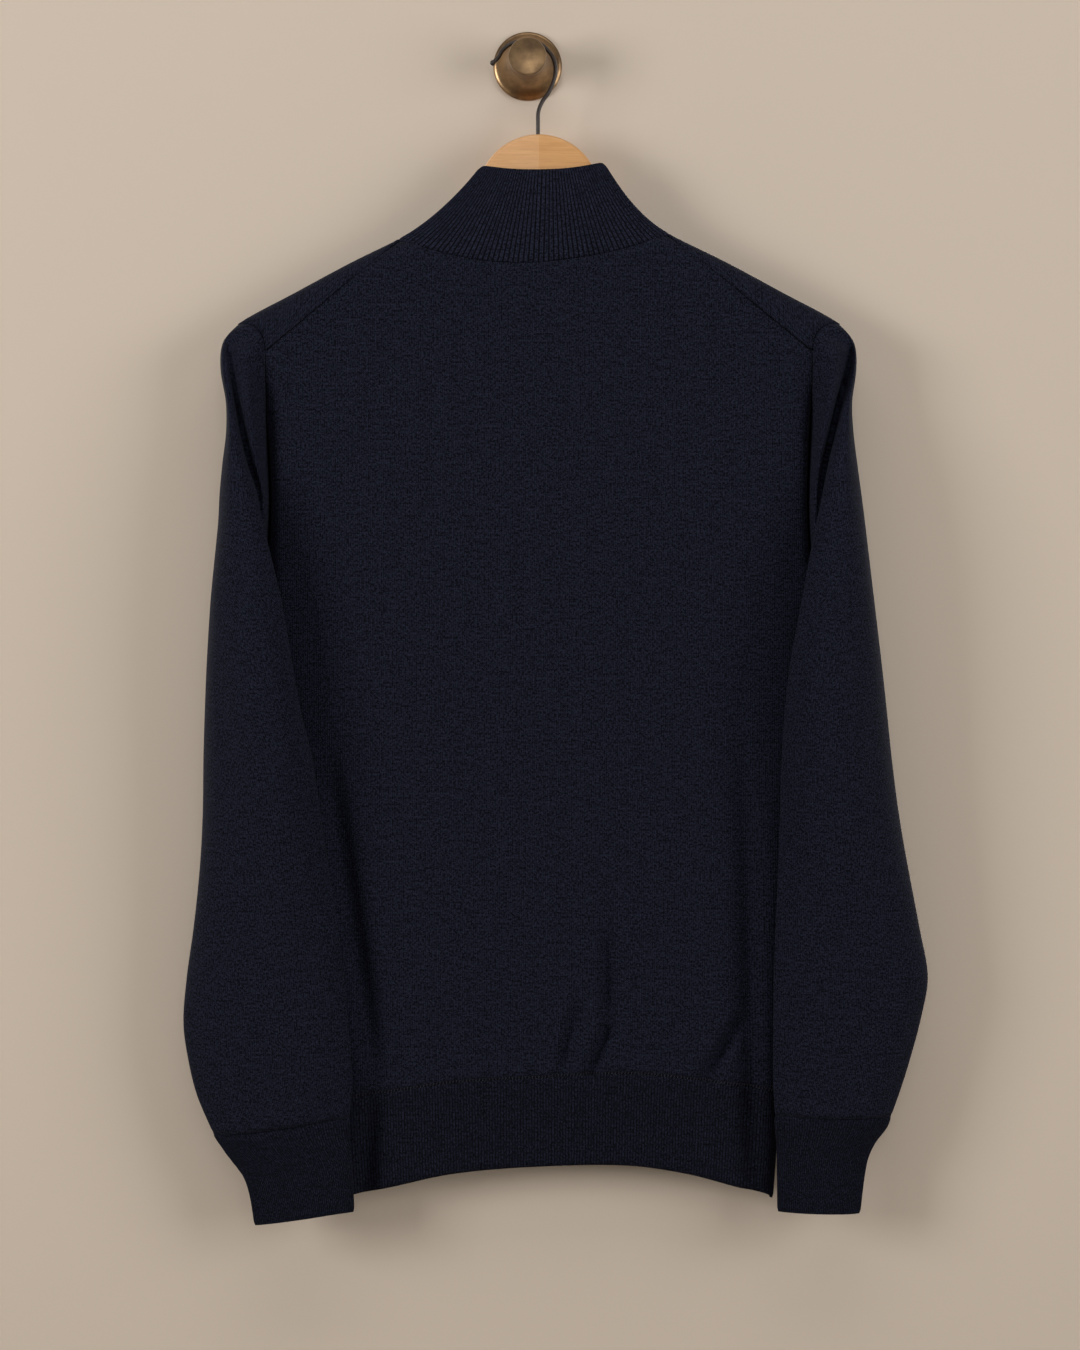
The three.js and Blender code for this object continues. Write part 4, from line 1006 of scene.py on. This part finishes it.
def woodOutline():
    radius, top = hangerForm["archRadius"], hangerForm["archTop"]
    turns = np.radians(np.linspace(0, 66, 12))
    arch = [(radius * math.sin(a), top - radius * (1 - math.cos(a))) for a in turns]
    ease = [(47, -94), (54, -108), (66, -119.5), (84, -129)]
    along = [(out, float(ridge(out)) - hangerForm["clothGap"]) for out in (104, 125, 150, 175, 198, 212)]
    under = [(217, -200), (219, -207), (217, -214), (208, -219), (195, -213), (170, -199), (140, -182),
             (105, -163), (70, -142), (40, -121), (20, -107), (0, -100)]
    line = throughPoints(arch + ease + along + under, False, 5)
    line[:, 0] = np.maximum(line[:, 0], 0)
    return line


def woodArm(name, side, material, node):
    line = woodOutline()
    form = bmesh.new()
    start = (bodyForm["mid"][0] - hangerForm["thick"] / 2) * mm
    edge = [form.verts.new(((centre + side * x) * mm, start, z * mm)) for x, z in line]
    face = form.faces.new(edge)
    grown = bmesh.ops.extrude_face_region(form, geom=[face])
    bmesh.ops.translate(form, vec=(0, hangerForm["thick"] * mm, 0),
                        verts=[v for v in grown["geom"] if isinstance(v, bmesh.types.BMVert)])
    joint = centre * mm
    rims = [e for e in form.edges if abs(e.verts[0].co.y - e.verts[1].co.y) < 1e-6
            and not all(abs(v.co.x - joint) < 1e-5 for v in e.verts)]
    bmesh.ops.bevel(form, geom=rims, offset=hangerForm["edge"] * mm, affect="EDGES",
                    segments=hangerForm["edgeSteps"], profile=0.5, material=-1, clamp_overlap=True)
    for vert in form.verts:
        out = (vert.co.x / mm - centre) / garment["tipReach"]
        vert.co.y += garment["bow"] * out * out * mm
    bmesh.ops.remove_doubles(form, verts=form.verts, dist=0.00001)
    bmesh.ops.recalc_face_normals(form, faces=form.faces)
    piece = asObject(name, form)
    piece.data.set_sharp_from_angle(angle=math.radians(35))
    finishPiece(piece, material, "garment", [node])


def roundWire(name, line, radius, sides):
    ahead = np.gradient(line, axis=0)
    ahead = ahead / np.linalg.norm(ahead, axis=1, keepdims=True)
    across = np.broadcast_to(np.array([0.0, 1.0, 0.0]), line.shape)
    upright = np.cross(ahead, across)
    turn = np.linspace(0, 2 * math.pi, sides + 1)
    ring = np.cos(turn)[None, :, None] * across[:, None] + np.sin(turn)[None, :, None] * upright[:, None]
    points = line[:, None] + radius * ring
    cloth = np.stack(np.meshgrid(turn * radius * mm, np.arange(len(line)) * 0.001), axis=-1)
    form = clothGrid(name, points, cloth, closed=True)
    shell = bmesh.new()
    shell.from_mesh(form.data)
    bmesh.ops.holes_fill(shell, edges=[e for e in shell.edges if e.is_boundary], sides=0)
    bmesh.ops.recalc_face_normals(shell, faces=shell.faces)
    shell.to_mesh(form.data)
    shell.free()
    form.data.set_sharp_from_angle(angle=math.radians(50))
    return form


# Hook: one bent wire with a small ball at its end
hookForm = {"wire": 1.5, "ball": 2.1,
            "path": [(-25.5, -3), (-21.5, 1), (-18.5, 6), (-13.5, 10.3), (-7, 12.7), (1.1, 13.2),
                     (8.5, 11.5), (14.5, 6.6), (18.6, 1), (20.5, -6), (20, -13.5), (16, -24),
                     (10.6, -32), (8, -39), (7.7, -47), (7.7, -55.6)]}


def hook():
    path = [(x, bodyForm["mid"][0], z) for x, z in hookForm["path"]]
    piece = roundWire("hook_wire", throughPoints(path, False, 10), hookForm["wire"], 16)
    whole = bmesh.new()
    whole.from_mesh(piece.data)
    bmesh.ops.create_uvsphere(whole, u_segments=20, v_segments=12, radius=hookForm["ball"] * mm,
                              matrix=Matrix.Translation(Vector(path[0]) * mm))
    for face in whole.faces:
        face.smooth = True
    whole.to_mesh(piece.data)
    whole.free()
    finishPiece(piece, blackEnamel, "garment", ["hanger_hook"])


# Knob turned in one piece: rose, hollow-curved neck and flat round head, from the wall outwards
knobForm = {"sides": 96, "roseEdge": [(25.5, 0), (25.5, 2.4), (24.6, 3.2)],
            "hollow": [(24.6, 3.2), (23, 4.2), (18.5, 9), (15, 15), (13, 21), (11.8, 27), (11.4, 30),
                       (11.4, 34.8)],
            "head": [(11.4, 34.8), (13.2, 36), (13.9, 37.2), (13.9, 44.1), (13.5, 44.8), (12.8, 45)]}


def knob():
    profile = [(0.0, 0.0)] + knobForm["roseEdge"][:-1]
    profile += [tuple(p) for p in throughPoints(knobForm["hollow"], False, 8)[:-1]]
    profile += knobForm["head"] + [(0.0, 45.0)]
    form = bmesh.new()
    verts = [form.verts.new((radius * mm, -out * mm, 0)) for radius, out in profile]
    edges = [form.edges.new(pair) for pair in zip(verts, verts[1:])]
    bmesh.ops.spin(form, geom=verts + edges, cent=(0, 0, 0), axis=(0, 1, 0), angle=2 * math.pi,
                   steps=knobForm["sides"], use_merge=True)
    bmesh.ops.remove_doubles(form, verts=form.verts, dist=0.00001)
    bmesh.ops.recalc_face_normals(form, faces=form.faces)
    piece = asObject("knob_turned", form)
    piece.data.set_sharp_from_angle(angle=math.radians(32))
    finishPiece(piece, agedBrass, "garment", ["wall_knob"])


woodArm("hanger_left_wood", -1, leftWoodLit, "hanger_left")
woodArm("hanger_right_wood", 1, rightWoodShaded, "hanger_right")
hook()
knob()
print("hanger and knob made")


# Wall, floor and light. The wall is seen from its front only
room = {"wallReach": 4.0, "wallY": 0.0006, "floorZ": -1.35, "floorReach": 5.0,
        "wall": (204, 192, 179), "floor": (150, 142, 132)}


def wallPaint():
    material, tree, shader = newMaterial("wallPaint", Roughness=0.9, Specular_IOR_Level=0.15)
    place = addNode(tree, "ShaderNodeTexCoord").outputs["Object"]
    plaster = addNode(tree, "ShaderNodeTexNoise", {"Vector": place}, Scale=260.0, Detail=4.0)
    shader.inputs["Base Color"].default_value = linear(*room["wall"])
    bumped(tree, shader, plaster.outputs[0], 0.05, 0.0004)
    clear = addNode(tree, "ShaderNodeBsdfTransparent")
    side = addNode(tree, "ShaderNodeNewGeometry").outputs["Backfacing"]
    either = addNode(tree, "ShaderNodeMixShader", {0: side, 1: shader.outputs[0], 2: clear.outputs[0]})
    tree.links.new(either.outputs[0], tree.nodes["Material Output"].inputs["Surface"])
    return material


def plane(name, corners, material):
    form = bmesh.new()
    form.faces.new([form.verts.new(corner) for corner in corners])
    made = asObject(name, form, smooth=False)
    made.data.materials.append(material)
    return made


reach, wallY, floorZ = room["wallReach"], room["wallY"], room["floorZ"]
wall = plane("wall", [(-reach, wallY, floorZ), (reach, wallY, floorZ), (reach, wallY, 2),
                      (-reach, wallY, 2)], wallPaint())
wall.visible_shadow = False
floorPaint = newMaterial("floorPaint", Roughness=0.8, Base_Color=linear(*room["floor"]))[0]
far = room["floorReach"]
plane("floor", [(-far, -far, floorZ), (far, -far, floorZ), (far, far, floorZ), (-far, far, floorZ)],
      floorPaint)


def softLight(name, place, aim, size, power):
    data = bpy.data.lights.new(name, "AREA")
    data.shape = "RECTANGLE"
    data.size, data.size_y = size
    data.energy = power
    data.color = (1, 0.97, 0.93)
    lamp = bpy.data.objects.new(name, data)
    lamp.location = place
    lamp.rotation_euler = (Vector(aim) - Vector(place)).to_track_quat("-Z", "Y").to_euler()
    bpy.context.scene.collection.objects.link(lamp)


softLight("left window", (-2.0, -1.5, -0.12), (0, 0, -0.3), (0.9, 1.0), 31)
softLight("right window", (2.0, -1.5, -0.15), (0, 0, -0.3), (1.3, 1.4), 26)
softLight("front fill", (0.1, -2.9, 0.05), (0, 0, -0.3), (0.9, 0.9), 7)
softLight("ceiling", (0, -1.0, 1.4), (0, 0, -0.3), (2.0, 0.9), 12)
softLight("far side left", (-1.8, 2.4, 0.6), (0, 0, -0.45), (1.6, 2.0), 40)
softLight("far side right", (1.8, 2.4, 0.4), (0, 0, -0.45), (1.6, 2.0), 36)

world = bpy.data.worlds.new("room")
bpy.context.scene.world = world
world.use_nodes = True
world.node_tree.nodes["Background"].inputs["Color"].default_value = (1, 0.96, 0.91, 1)
world.node_tree.nodes["Background"].inputs["Strength"].default_value = 0.13
bpy.context.scene.view_settings.view_transform = "Standard"
print("room lit")
